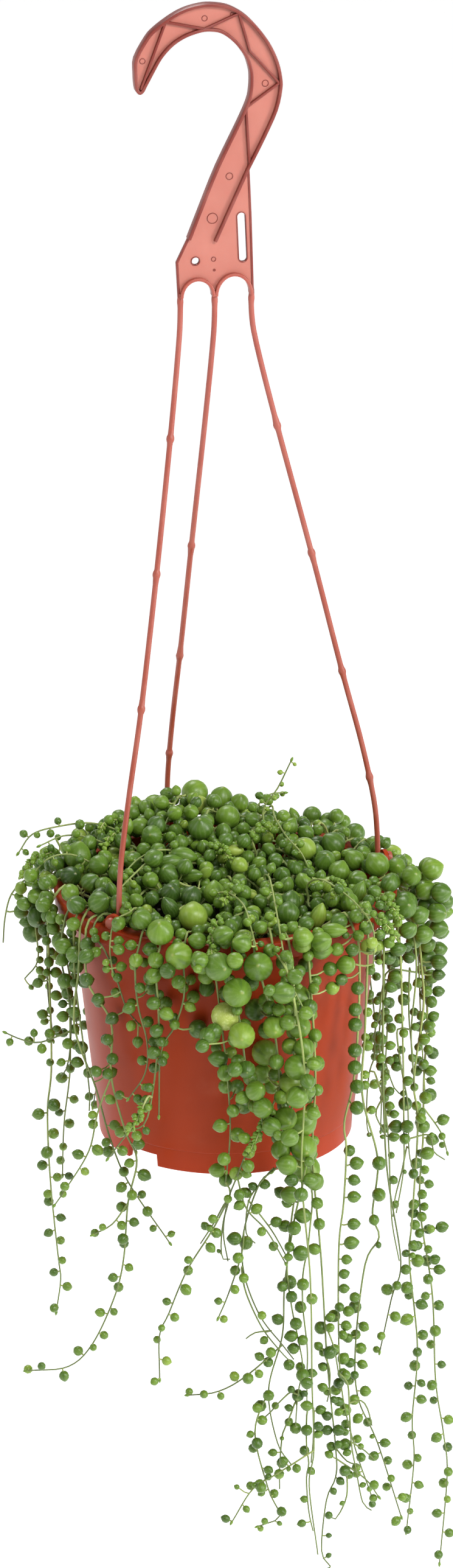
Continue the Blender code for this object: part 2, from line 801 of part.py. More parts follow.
def pearl_shape(middle, axis, radius):
    """A pearl as two rings between a root point and a slightly longer tip."""
    sides = 5 if radius > 5.2 else 4 if radius > 3.4 else 3
    shape = bmesh.new()
    side = axis.orthogonal().normalized()
    other = axis.cross(side)
    root = shape.verts.new(middle - axis * radius)
    tip = shape.verts.new(middle + axis * radius * 1.15)
    rings = []
    for height, shift in ((-0.45, 0.0), (0.42, 0.5)):
        ring = []
        for step in range(sides):
            turn = 2 * math.pi * (step + shift) / sides
            offset = side * math.cos(turn) + other * math.sin(turn)
            ring.append(shape.verts.new(middle + axis * height * radius + offset * radius))
        rings.append(ring)
    lower, upper = rings
    for step in range(sides):
        after = (step + 1) % sides
        shape.faces.new((root, lower[after], lower[step]))
        shape.faces.new((lower[step], lower[after], upper[step]))
        shape.faces.new((lower[after], upper[after], upper[step]))
        shape.faces.new((upper[step], upper[after], tip))
    return shape


def seats_at(route, radii, place, first):
    """Where a pearl may sit at a distance along a stem, as its root and its direction, best first.

    A root lies a little under the middle of one of the stem's flat sides, clear of their edges.
    """
    along = lengths_along(route)
    index = next(step for step, length in enumerate(along) if length >= place)
    run = along[index] - along[index - 1]
    share = min(max((place - along[index - 1]) / run, ROOT_MARGIN / run), 1.0 - ROOT_MARGIN / run)
    if run < 2 * ROOT_MARGIN:
        share = 0.5
    point = route[index - 1].lerp(route[index], share)
    radius = radii[index - 1] + (radii[index] - radii[index - 1]) * share
    axes = cross_axes(route)
    side = axes[index - 1][0].lerp(axes[index][0], share)
    other = axes[index - 1][1].lerp(axes[index][1], share)
    flat = radius * math.cos(math.pi / STEM_SIDES)
    for lean in (0.0, 0.45, -0.45):
        for step in range(STEM_SIDES):
            turn = 2 * math.pi * (step + first + 0.5) / STEM_SIDES
            normal = (side * math.cos(turn) + other * math.sin(turn)).normalized()
            leaning = side * math.cos(turn + lean) + other * math.sin(turn + lean)
            yield point + normal * (flat - ROOT_DEPTH), (leaning + Vector((0.0, 0.0, -0.15))).normalized()


def add_pearl(room, owner, pearls, seats, radius, reach=1.0):
    """Places a pearl on the first free seat, full size or somewhat smaller."""
    for size in (radius, radius * 0.8, radius * 0.62):
        for root, way in seats:
            middle = root + way * size * reach
            if room.is_clear(owner, middle, size * 1.08):
                room.add(owner + " pearl", middle, size * 1.08)
                pearls.append(new_object("pearl", pearl_shape(middle, way, size)))
                return


def pearls_on(room, owner, line, largest, spacing, draw, start=14.0):
    """Pearls along a stem, smaller towards its tip, with one at the very tip."""
    route, radii = tapered(line)
    total = lengths_along(route)[-1]
    pearls = []
    end_way = (route[-1] - route[-2]).normalized()
    add_pearl(room, owner, pearls, [(route[-1], end_way)], TIP_PEARL, 0.5)
    place = start
    first = draw.randrange(STEM_SIDES)
    while place < total - 0.6 * spacing:
        share = place / total
        radius = (largest + (TIP_PEARL - largest) * share**1.3) * draw.uniform(0.88, 1.1)
        add_pearl(room, owner, pearls, list(seats_at(route, radii, place, first)), radius)
        place += spacing * draw.uniform(0.85, 1.15)
        first += 1
    return pearls


def back_strands():
    """The strands round the back, spread evenly with lengths drawn at random."""
    draw = random.Random(BACK_SEED)
    strands = []
    azimuths = []
    for start, end, count in BACK_ARCS:
        azimuths += [start + (end - start) * index / (count - 1) for index in range(count)]
    for index, azimuth in enumerate(azimuths):
        azimuth += draw.uniform(-1.0, 1.0)
        length = draw.uniform(*BACK_LENGTHS)
        turn = math.radians(azimuth)
        across = BACK_OUT * math.sin(turn)
        hanging = []
        drop = 10.0
        while drop < length + 10.0:
            hanging.append((across, drop))
            across += draw.uniform(-4.0, 4.0)
            drop += 25.0
        depth = -BACK_OUT * math.cos(turn)
        name = "strand_back_%02d" % (index + 1)
        strands.append(Strand(name, azimuth, depth, tuple(hanging), largest=4.8, spacing=30.0))
    return strands


def make_strands(room, leaf, draw):
    """Every strand: all stems find their way first, then the pearls fill what room is left."""
    strands = [*STRANDS, *back_strands()]
    lines = []
    holes = []
    for index, strand in enumerate(strands):
        root_radius = ROOT_RADII[index % 2]
        lines.append(stem_lines(room, strand, root_radius, 3.0 + 1.4 * (index % 3)))
        holes.append(around(strand.azimuth, root_radius, SOIL_DROP))
    for strand, (main, *branches) in zip(strands, lines):
        made = new_object(strand.name, stem_shape(main), leaf)
        extras = [new_object("branch", stem_shape(line)) for line in branches]
        pearls = pearls_on(room, strand.name, main, strand.largest, strand.spacing, draw)
        for line in branches:
            pearls += pearls_on(room, strand.name, line, 3.6, strand.spacing, draw, 10.0)
        combine(made, extras + pearls, "UNION")
    return holes


def make_clump(room, name, clump, leaf, draw, shoot=()):
    """A tuft of the crown: a low core covered in pearls, rooted in the soil by a short stem."""
    azimuth, distance, size, half_height, count = clump
    middle = around(azimuth, distance, SOIL_DROP - half_height - 0.9)
    core = bmesh.new()
    bmesh.ops.create_icosphere(core, subdivisions=1, radius=1.0)
    flat = Matrix.Diagonal((size, size, half_height, 1.0))
    made = new_object(name, core, leaf, Matrix.Translation(middle) @ flat)
    for step in range(6):
        turn = step * math.pi / 3
        offset = Vector((math.cos(turn), math.sin(turn), 0.0)) * (size - half_height * 0.9)
        room.add(name, middle + offset, half_height)
    root = around(azimuth, distance, SOIL_DROP + ROOT_SUNK)
    extras = [new_object("root", rod(root, middle, STEM_RADIUS, STEM_SIDES))]
    if shoot:
        line = [Vector((POT_AXIS + across, middle.y, RIM_TOP - drop)) for across, drop in shoot]
        line = smooth_route([middle, *line])
        for point in line:
            room.add(name, point, STEM_RADIUS)
        extras.append(new_object("shoot", stem_shape(line)))
        extras += pearls_on(room, name, line, SHOOT_PEARL, 6.0, draw, 26.0)
    turn = draw.uniform(0.0, 2 * math.pi)
    for index in range(count):
        rise = math.asin(0.05 + 0.95 * (index + 0.5) / count)
        way = Vector((math.cos(turn) * math.cos(rise), math.sin(turn) * math.cos(rise), math.sin(rise)))
        place = middle + Vector((way.x * size, way.y * size, way.z * half_height)) * 0.86
        add_pearl(room, name, extras, [(place, way)], draw.uniform(*CLUMP_PEARLS), 0.5)
        turn += 2.4
    combine(made, extras, "UNION")
    return around(azimuth, distance, SOIL_DROP)


def make_soil(earth, holes):
    """The soil, with a plain hole for every root."""
    floor = FLOOR_DROP - 0.3
    top = wall_radius(SOIL_DROP) - WALL - SOIL_GAP
    foot = wall_radius(floor) - WALL - 0.4 - SOIL_GAP
    profile = (
        (0.0, floor),
        (foot, floor),
        (top, SOIL_DROP + 2.0),
        (top - 2.0, SOIL_DROP),
        (0.0, SOIL_DROP),
    )
    at_rim = Matrix.Translation((POT_AXIS, 0.0, RIM_TOP))
    soil = new_object("soil", turned(profile, SOIL_SIDES), earth, at_rim)
    cutters = []
    for hole in holes:
        low = hole - Vector((0.0, 0.0, HOLE_DEPTH))
        high = hole + Vector((0.0, 0.0, 3.0))
        cutters.append(new_object("hole", rod(low, high, HOLE_RADIUS, HOLE_SIDES)))
    combine(soil, cutters, "DIFFERENCE")


def main():
    clear_scene()
    draw = random.Random(SEED)
    pot_plastic = make_material("terracotta_plastic", (0.50, 0.065, 0.028), 0.42)
    hanger_plastic = make_material("salmon_plastic", (0.62, 0.17, 0.11), 0.40)
    earth = make_material("potting_soil", (0.035, 0.026, 0.020), 0.95)
    leaf = make_material("pearl_leaf", (0.13, 0.27, 0.055), 0.45)
    make_pot(pot_plastic)
    make_hanger(hanger_plastic)
    room = fill_room_with_holder()
    holes = []
    for number, clump in enumerate(CLUMPS, 1):
        holes.append(make_clump(room, "crown_clump_%d" % number, clump, leaf, draw))
    holes.append(make_clump(room, "upright_shoot", SHOOT_CLUMP, leaf, draw, SHOOT))
    holes += make_strands(room, leaf, draw)
    make_soil(earth, holes)


main()
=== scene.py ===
"""Looks of the potted string of pearls: hanging pot, hanger, soil, crown and trailing strands.

Lengths are millimetres, and MM turns them into Blender's metres when a mesh is made. The origin is
the saddle of the hook. A place round the pot is an azimuth: 0 at the front, 90 at the right. A drop
is a distance below the top of the rim, and across is a distance right of the pot's axis.
"""
import itertools
import math
import random
from collections import namedtuple

import bmesh
import bpy
from mathutils import Matrix, Vector, noise


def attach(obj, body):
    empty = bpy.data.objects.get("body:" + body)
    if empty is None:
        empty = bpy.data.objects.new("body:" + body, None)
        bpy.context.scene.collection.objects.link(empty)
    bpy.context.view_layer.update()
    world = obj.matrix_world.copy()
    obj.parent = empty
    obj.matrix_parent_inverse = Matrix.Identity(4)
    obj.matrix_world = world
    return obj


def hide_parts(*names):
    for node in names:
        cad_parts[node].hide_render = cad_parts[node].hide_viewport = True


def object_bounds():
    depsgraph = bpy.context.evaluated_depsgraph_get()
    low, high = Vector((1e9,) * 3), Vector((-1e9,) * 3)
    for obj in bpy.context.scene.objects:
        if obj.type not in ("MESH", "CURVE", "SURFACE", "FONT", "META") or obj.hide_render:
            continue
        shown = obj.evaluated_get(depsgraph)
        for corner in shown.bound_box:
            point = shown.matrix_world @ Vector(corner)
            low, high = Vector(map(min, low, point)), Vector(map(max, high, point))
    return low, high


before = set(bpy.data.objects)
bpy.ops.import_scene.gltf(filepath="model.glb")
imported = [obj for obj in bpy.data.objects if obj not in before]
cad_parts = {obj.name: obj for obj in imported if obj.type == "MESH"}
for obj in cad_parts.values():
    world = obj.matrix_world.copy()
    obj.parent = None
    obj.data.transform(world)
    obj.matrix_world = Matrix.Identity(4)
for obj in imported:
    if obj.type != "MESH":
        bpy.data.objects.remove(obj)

MM = 0.001
CAD_BOX = [list(corner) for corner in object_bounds()]

# Pot
POT_AXIS = 6.0
RIM_TOP = -384.0
RIM_RADIUS = 76.0
RIM_INNER = 68.4
RIM_THICK = 1.6
SKIRT_DROP = 8.0
NECK_RADIUS = 69.6
FOOT_RADIUS = 56.5
POT_HEIGHT = 116.0
WALL = 1.4
FLOOR_DROP = 106.0
FLOOR_THICK = 2.0
FOOT_WALL = 2.6
POT_SIDES = 144
LEDGE = 0.6
NOTCH_WIDTH = 16.5
NOTCH_HEIGHT = 5.8
DRAIN_RADIUS = 4.0
DRAIN_CIRCLE = 33.0
DRAIN_COUNT = 5

# Lugs and pegs
ARM_AZIMUTHS = (-40.7, 107.5, 202.0)
LUG_WIDTH = 9.0
LUG_HEIGHT = 6.8
LUG_THICK = 1.8
LUG_RADIUS = 74.1
PEG_RISE = 3.2
PEG_RADIUS = 1.3
PEG_GAP = 0.4
# Where the peg's head changes its width, as distances from the pot's axis, and the peg's own radii
LUG_FACE = LUG_RADIUS + LUG_THICK / 2
PEG_HEAD = (
    LUG_FACE + PEG_GAP, LUG_FACE + PEG_GAP + 0.2, LUG_FACE + 1.6, LUG_FACE + 2.3, LUG_FACE + 2.6,
)
PEG_RADII = (
    PEG_RADIUS, PEG_RADIUS, PEG_RADIUS + 1.2, PEG_RADIUS + 1.3, PEG_RADIUS + 1.0, PEG_RADIUS,
)

# Hook plate
PLATE_YAW = 12.0
PLATE_DEPTH = 5.0
WEB_THICK = 1.3
FLANGE_WIDTH = 1.4
RIB_WIDTH = 1.1
RIB_DEPTH = 4.2
PLATE_FOOT = -115.4
ARCH_STEPS = 16
RIB_END = (2.0, -91.6)
ZIGZAG = (
    (-30.6, -23.4),
    (-19.9, 5.0),
    (-3.1, 1.1),
    (11.6, 7.2),
    (16.4, -9.2),
    (29.0, -23.7),
    (14.7, -33.6),
    (16.3, -59.4),
)
SMALL_HOLE = (-7.1, -99.7)
HOLE_RADIUS = 1.6
SLOT_ENDS = ((12.8, -81.2), (13.6, -99.3))  # middles of the slot's round ends
SLOT_RADIUS = 1.7
LIP = 0.45  # width of the raised lip round each opening and mark
# round marks of the mould on the web: right, up, radius
MOULD_MARKS = (
    (0.3, -81.3, 2.4),
    (7.7, -63.3, 1.6),
    (23.2, -23.7, 1.5),
    (-29.7, -11.5, 1.3),
    (0.8, -99.3, 1.1),
    (8.8, 6.8, 0.9),
    (-3.0, 5.6, 1.3),
)
DIMPLE = (1.1, -104.1, 0.6)

# Arms
ARM_RADIUS = 1.2
ARM_END_RADIUS = 71.0
NODULE_RADIUS = 1.75
NODULE_HALF = 1.9
ARM_ROOTS = (-13.7, 17.5, 1.3)
ARM_NODULES = ((-176.0, -233.5, -290.5), (-175.5, -235.0, -291.0, -342.0), (-238.0, -294.5, -346.0))
ARM_BULGES = (0.0, 0.08, 0.07)  # how far each arm's middle stands out beyond the sweep
TOP_NODULE = -117.5
TOP_SWELL = 0.35  # how much of a nodule the top one is
ARM_SWEEP = (
    (-113.8, 0.0),
    (-124.0, 0.0),
    (-138.0, 0.03),
    (-176.0, 0.16),
    (-235.0, 0.39),
    (-290.0, 0.63),
    (-325.0, 0.82),
    (-352.0, 0.95),
    (-368.0, 0.99),
    (-382.0, 1.0),
)

# Soil
SOIL_DROP = 10.0
SOIL_GAP = 0.6

# Plant
ROOT_SUNK = 8.0
ROOT_RADII = (56.0, 63.0)
STEM_RADIUS = 0.6
BRANCH_RADIUS = 0.42
TIP_RADIUS = 0.31
STRAND_SHARE = 0.76  # how large the drawn pearls of a strand are beside those of the crown
TOP_PEARL = 4.2 * STRAND_SHARE
STALK = 1.2
LONGEST_STALK = 15.0
CROWN_FILL = ((5.6, 700), (4.8, 1500), (4.0, 2500), (3.2, 2500), (2.3, 1500))  # radius and tries
CROWN_REACH = 83.0  # how far from the axis the crown comes down to the rim's height
CROWN_EDGE = 86.0  # how far from the axis the crown's drawn pearls lie at most
CROWN_STALK = 7.0
CREEP_REACH = 64.0  # how far from the axis the creeping stems may lie
SPINDLE_SHARE = 0.11  # how many of the crown's drawn leaves are pointed
TRIED_TURNS = (0.0, 0.8, -0.8, 1.6, -1.6, 2.4, -2.4, 3.1)  # where round its stem a pearl is tried
SEED = 23

# Strands at the back: first and last azimuth and number of each row, and the range of their lengths
BACK_ARCS = ((114.0, 191.5, 11), (207.0, 252.0, 7))
BACK_LENGTHS = (55.0, 165.0)
BACK_OUT = 83.0
BACK_SEED = 6

# Cells in which near stems and leaves are looked up, and cells of what the camera sees
CELL = 14.0
SHOWN_CELL = 10.0
# A leaf may not come nearer, before one that is kept in view, than these shares of the two radii
KEPT_SHARE = 0.5
HIDING_SHARE = 0.75
# How far before and behind its mark a placed pearl may come to rest, on the camera's line of sight
FRONT_SPAN = (-24.0, 16.0)
SIDE_SPAN = (-8.0, 8.0)
STEM_SPAN = (-36, 30)
# The gap that a placed pearl keeps to its neighbours; below zero, they press together. In front, the
# second gap is for pearls that find no place with the first.
FRONT_GAPS = (-1.2, -3.0)
CROWN_GAP = -0.8
STEM_GAP = -0.6

# A strand crosses the rim at its azimuth and hangs at its depth. The places of its hanging part and of
# each branch are across and drop. Largest is the radius of its first pearls.
Strand = namedtuple("Strand", "name azimuth depth hanging branches largest", defaults=((), TOP_PEARL))
STRANDS = (
    Strand("strand_left_1", -97, 10, ((-88, 2), (-95, 9), (-98, 20), (-99, 32))),
    Strand("strand_left_2", -85, -8, ((-81, 4), (-84, 15), (-83, 33), (-89, 42))),
    Strand("strand_left_3", -75, -25, ((-78, 11), (-77, 74), (-79, 99), (-78, 134), (-75, 171),
        (-74, 182), (-76, 197))),
    Strand("strand_left_4", -62, -40, ((-72, 20), (-68, 45), (-69, 68), (-73, 77)), (
        ((-68, 54), (-81, 59), (-89, 58), (-96, 55)),
    )),
    Strand("strand_left_5", -56.5, -47, ((-66, 24), (-64, 45), (-60, 78), (-60, 89))),
    Strand("strand_left_6", -53, -52, ((-64, 20), (-66, 47), (-57, 77), (-51, 101), (-43, 122),
        (-25, 150))),
    Strand("strand_left_7", -50, -57, ((-60, 25), (-50, 44), (-50, 69), (-44, 94), (-39, 108), (-43, 129),
        (-45, 156), (-49, 175), (-59, 198), (-70, 209), (-88, 211)), (
        ((-43, 129), (-50, 139), (-58, 144)),
        ((-50, 69), (-56, 85), (-60, 103), (-70, 121), (-75, 129)),
    )),
    Strand("strand_front_1", -47, -62, ((-52, 8), (-48, 18), (-43, 34), (-38, 41)),
        largest=3.0 * STRAND_SHARE),
    Strand("strand_front_2", -28, -72, ((-39, 10), (-38, 28), (-34, 46), (-35, 61), (-42, 73))),
    Strand("strand_front_3", -21, -76, ((-30, 10), (-29, 42), (-34, 81), (-42, 88), (-51, 100))),
    Strand("strand_front_4", -13, -79, ((-18, 10), (-18, 23), (-22, 37), (-28, 49), (-29, 78))),
    Strand("strand_front_5", -5, -80, ((-5, 8), (0, 51), (2, 83), (0, 109))),
    Strand("strand_front_6", 2, -86, ((1, 8), (6, 30), (10, 60), (16, 78), (10, 90), (5, 104), (1, 116),
        (-1, 131), (1, 145)), (
        ((1, 117), (-6, 130), (-17, 149), (-25, 169), (-29, 179), (-29, 199)),
        ((5, 104), (9, 119), (18, 130), (26, 145)),
    )),
    Strand("strand_front_7", 9, -81, ((14, 8), (21, 36), (24, 70), (24, 99), (15, 110), (8, 133),
        (8, 152), (15, 172), (25, 186), (30, 193)), (
        ((24, 186), (13, 197), (3, 205), (-6, 209), (-16, 210)),
        ((8, 133), (7, 143), (1, 162), (-3, 172)),
    )),
    Strand("strand_front_8", 15, -92, ((27, 8), (34, 50), (33, 100), (37, 150), (38, 200), (39, 233),
        (37, 251), (41, 285)), (
        ((38, 232), (23, 244), (12, 252), (3, 268)),
    )),
    Strand("strand_front_9", 20.5, -77, ((29, 10), (30, 40), (29, 80), (35, 100), (30, 130), (26, 160),
        (25, 184), (19, 210), (23, 236), (29, 247)), (
        ((19, 210), (13, 230), (19, 259), (24, 273), (15, 278)),
    )),
    Strand("strand_front_10", 26, -71, ((36, 10), (39, 60), (38, 100), (42, 150), (45, 200), (49, 242),
        (49, 256), (45, 268), (43, 294), (47, 302)), (
        ((49, 248), (62, 256), (68, 265)),
    )),
    Strand("strand_right_1", 45, -57, ((58, 10), (58, 40), (56, 70), (52, 90), (53, 103), (52, 130),
        (50, 155), (51, 212), (57, 245), (66, 275))),
    Strand("strand_right_2", 51, -50, ((62, 10), (61, 50), (60, 80), (67, 111), (65, 138), (68, 150),
        (62, 163), (58, 200), (59, 226), (68, 249), (79, 287))),
    Strand("strand_right_3", 58, -43, ((69, 10), (69, 60), (70, 97), (72, 125), (78, 165), (74, 182),
        (69, 207))),
    Strand("strand_right_4", 66, -33, ((76, 12), (78, 60), (79, 104), (79, 125), (76, 145))),
    Strand("strand_right_5", 72, -24, ((81, 8), (84, 30), (82, 62), (84, 90))),
    Strand("strand_right_6", 88, -5, ((84, 10), (87, 39), (88, 58), (84, 92), (86, 113), (84, 161),
        (83, 182), (87, 224), (85, 259), (86, 281), (83, 318))),
    Strand("strand_right_7", 95, 12, ((84, 10), (90, 60), (89, 100), (89, 128), (88, 163), (94, 205),
        (96, 248), (100, 276), (102, 298), (99, 342)), (
        ((90, 114), (97, 126), (100, 136)),
    )),
    Strand("strand_right_8", 101.5, 25, ((82, 8), (86, 40), (88, 80), (90, 110))),
)

# Stretches of strands, from and to a drop, whose pearls are placed one by one and not drawn
PLACED = {"strand_front_%d" % number: (105.0, 400.0) for number in range(5, 11)}
PLACED.update(("strand_right_%d" % number, (-20.0, 172.0)) for number in range(1, 7))
PLACED.update(("strand_left_%d" % number, (-20.0, 90.0)) for number in range(1, 8))

# Clumps of the crown: azimuth and distance of the root, and how many creeping stems leave it
CLUMPS = (
    (0.0, 0.0, 9),
    (18.0, 36.0, 7),
    (63.0, 36.0, 7),
    (108.0, 36.0, 7),
    (198.0, 36.0, 7),
    (243.0, 36.0, 7),
    (288.0, 36.0, 7),
    (333.0, 36.0, 7),
)
SHOOT_CLUMP = (153.0, 36.0, 7)
# The upright shoot of that last clump: across and drop
SHOOT = ((17, -14), (17, -23), (23, -32), (29, -45))

# Pearls before the pot's wall and rim, read at FRONT_DEPTH: across, drop, radius, tone
FRONT_DEPTH = -80.0
FRONT_PEARLS = (
    # The pearl at across 7 and drop 40 is given a lighter tone: painted light against the shade of the
    # pearls above it.
    (14, 8, 6.4, 0.45), (-3, 8, 6.3, 0.4), (5, 20, 6.4, 0.5), (0, 31, 6.3, 1.0), (7, 40, 5.8, 0.7),
    (31, 23, 6.4, 0.5), (13, 28, 5.0, 0.3), (17, 48, 5.8, 0.65), (21, 36, 5.0, 0.65), (32, 36, 5.0, 0.5),
    (27, 34, 3.6, 0.5), (25, 20, 5.0, 0.4), (19, 27, 3.2, 0.4), (19, 19, 2.8, 0.4), (23, 28, 3.0, 0.5),
    (28, 45, 3.8, 0.7), (34, 46, 4.6, 0.5), (31, 55, 5.6, 0.5), (28, 62, 5.0, 0.75), (16, 58, 4.4, 0.6),
    (9, 56, 4.0, 0.2), (13, 66, 4.4, 0.5), (20, 64, 3.4, 0.6), (24, 69, 3.2, 0.65), (31, 69, 5.0, 0.5),
    (8, 73, 3.8, 0.3), (16, 74, 4.6, 0.45), (26, 79, 5.2, 0.6), (34, 81, 5.8, 0.55), (20, 83, 4.2, 0.4),
    (23, 87, 2.4, 0.5), (34, 93, 5.9, 0.6), (28, 88, 4.0, 0.45), (24, 94, 4.4, 0.5), (35, 103, 6.4, 0.6),
    (27, 101, 4.6, 0.5), (39, 109, 4.0, 0.45), (-8, 18, 3.6, 0.3), (-5, 38, 3.6, 0.3),
    (-12, 37, 4.2, 0.2), (-8, 40, 3.6, 0.3), (-4, 46, 2.6, 0.4), (-3, 51, 3.8, 0.35), (-10, 45, 3.0, 0.3),
    (4, 56, 3.4, 0.3), (5, 64, 3.2, 0.3), (7, -3, 4.2, 0.45), (4, 5, 3.6, 0.6), (26, 3, 2.8, 0.4),
    (33, -3, 4.4, 0.65), (41, 0, 4.4, 0.5), (48, 0, 3.0, 0.55), (52, 7, 4.2, 0.55), (45, 9, 3.2, 0.35),
    (50, 14, 2.8, 0.2), (46, 18, 3.0, 0.7), (38, 18, 2.6, 0.5), (63, -3, 2.8, 0.8), (57, 18, 3.0, 0.25),
    (56, 28, 3.0, 0.25), (56, 35, 3.2, 0.25), (56, 47, 3.2, 0.25), (56, 55, 3.2, 0.3), (57, 64, 3.2, 0.3),
    (57, 74, 3.2, 0.35), (-28, -8, 5.9, 0.55), (-20, 3, 6.0, 0.65), (-36, -14, 4.5, 0.4),
    (-12, -4, 3.8, 0.5), (-19, -7, 2.9, 0.5), (-11, 5, 3.8, 0.45), (-30, 5, 3.6, 0.5), (-35, 6, 2.3, 0.6),
    (-31, 12, 3.5, 0.5), (-32, 18, 3.0, 0.4), (-25, 10, 3.5, 0.2), (-12, 9, 2.0, 0.6),
    (-15, 14, 2.5, 0.6), (-14, 22, 3.0, 0.6), (-22, 35, 2.4, 0.5), (-46, -12, 3.1, 0.45),
    (-46, 0, 2.6, 0.45), (-46, -4, 2.3, 0.5), (-45, 8, 2.4, 0.5), (-31, 25, 3.0, 0.35),
    (-26, 25, 3.2, 0.4), (-30, 38, 3.0, 0.3), (-38, 43, 2.5, 0.4), (-31, 48, 3.0, 0.35),
    (-60, 3, 3.3, 0.25), (-60, 14, 3.1, 0.15), (-55, 23, 2.8, 0.2), (-49, 32, 2.8, 0.15),
    (-51, 42, 2.7, 0.2), (-49, 51, 2.8, 0.2), (-51, 58, 2.7, 0.25), (-56, 57, 2.6, 0.35),
    (-46, 68, 2.2, 0.3),
)
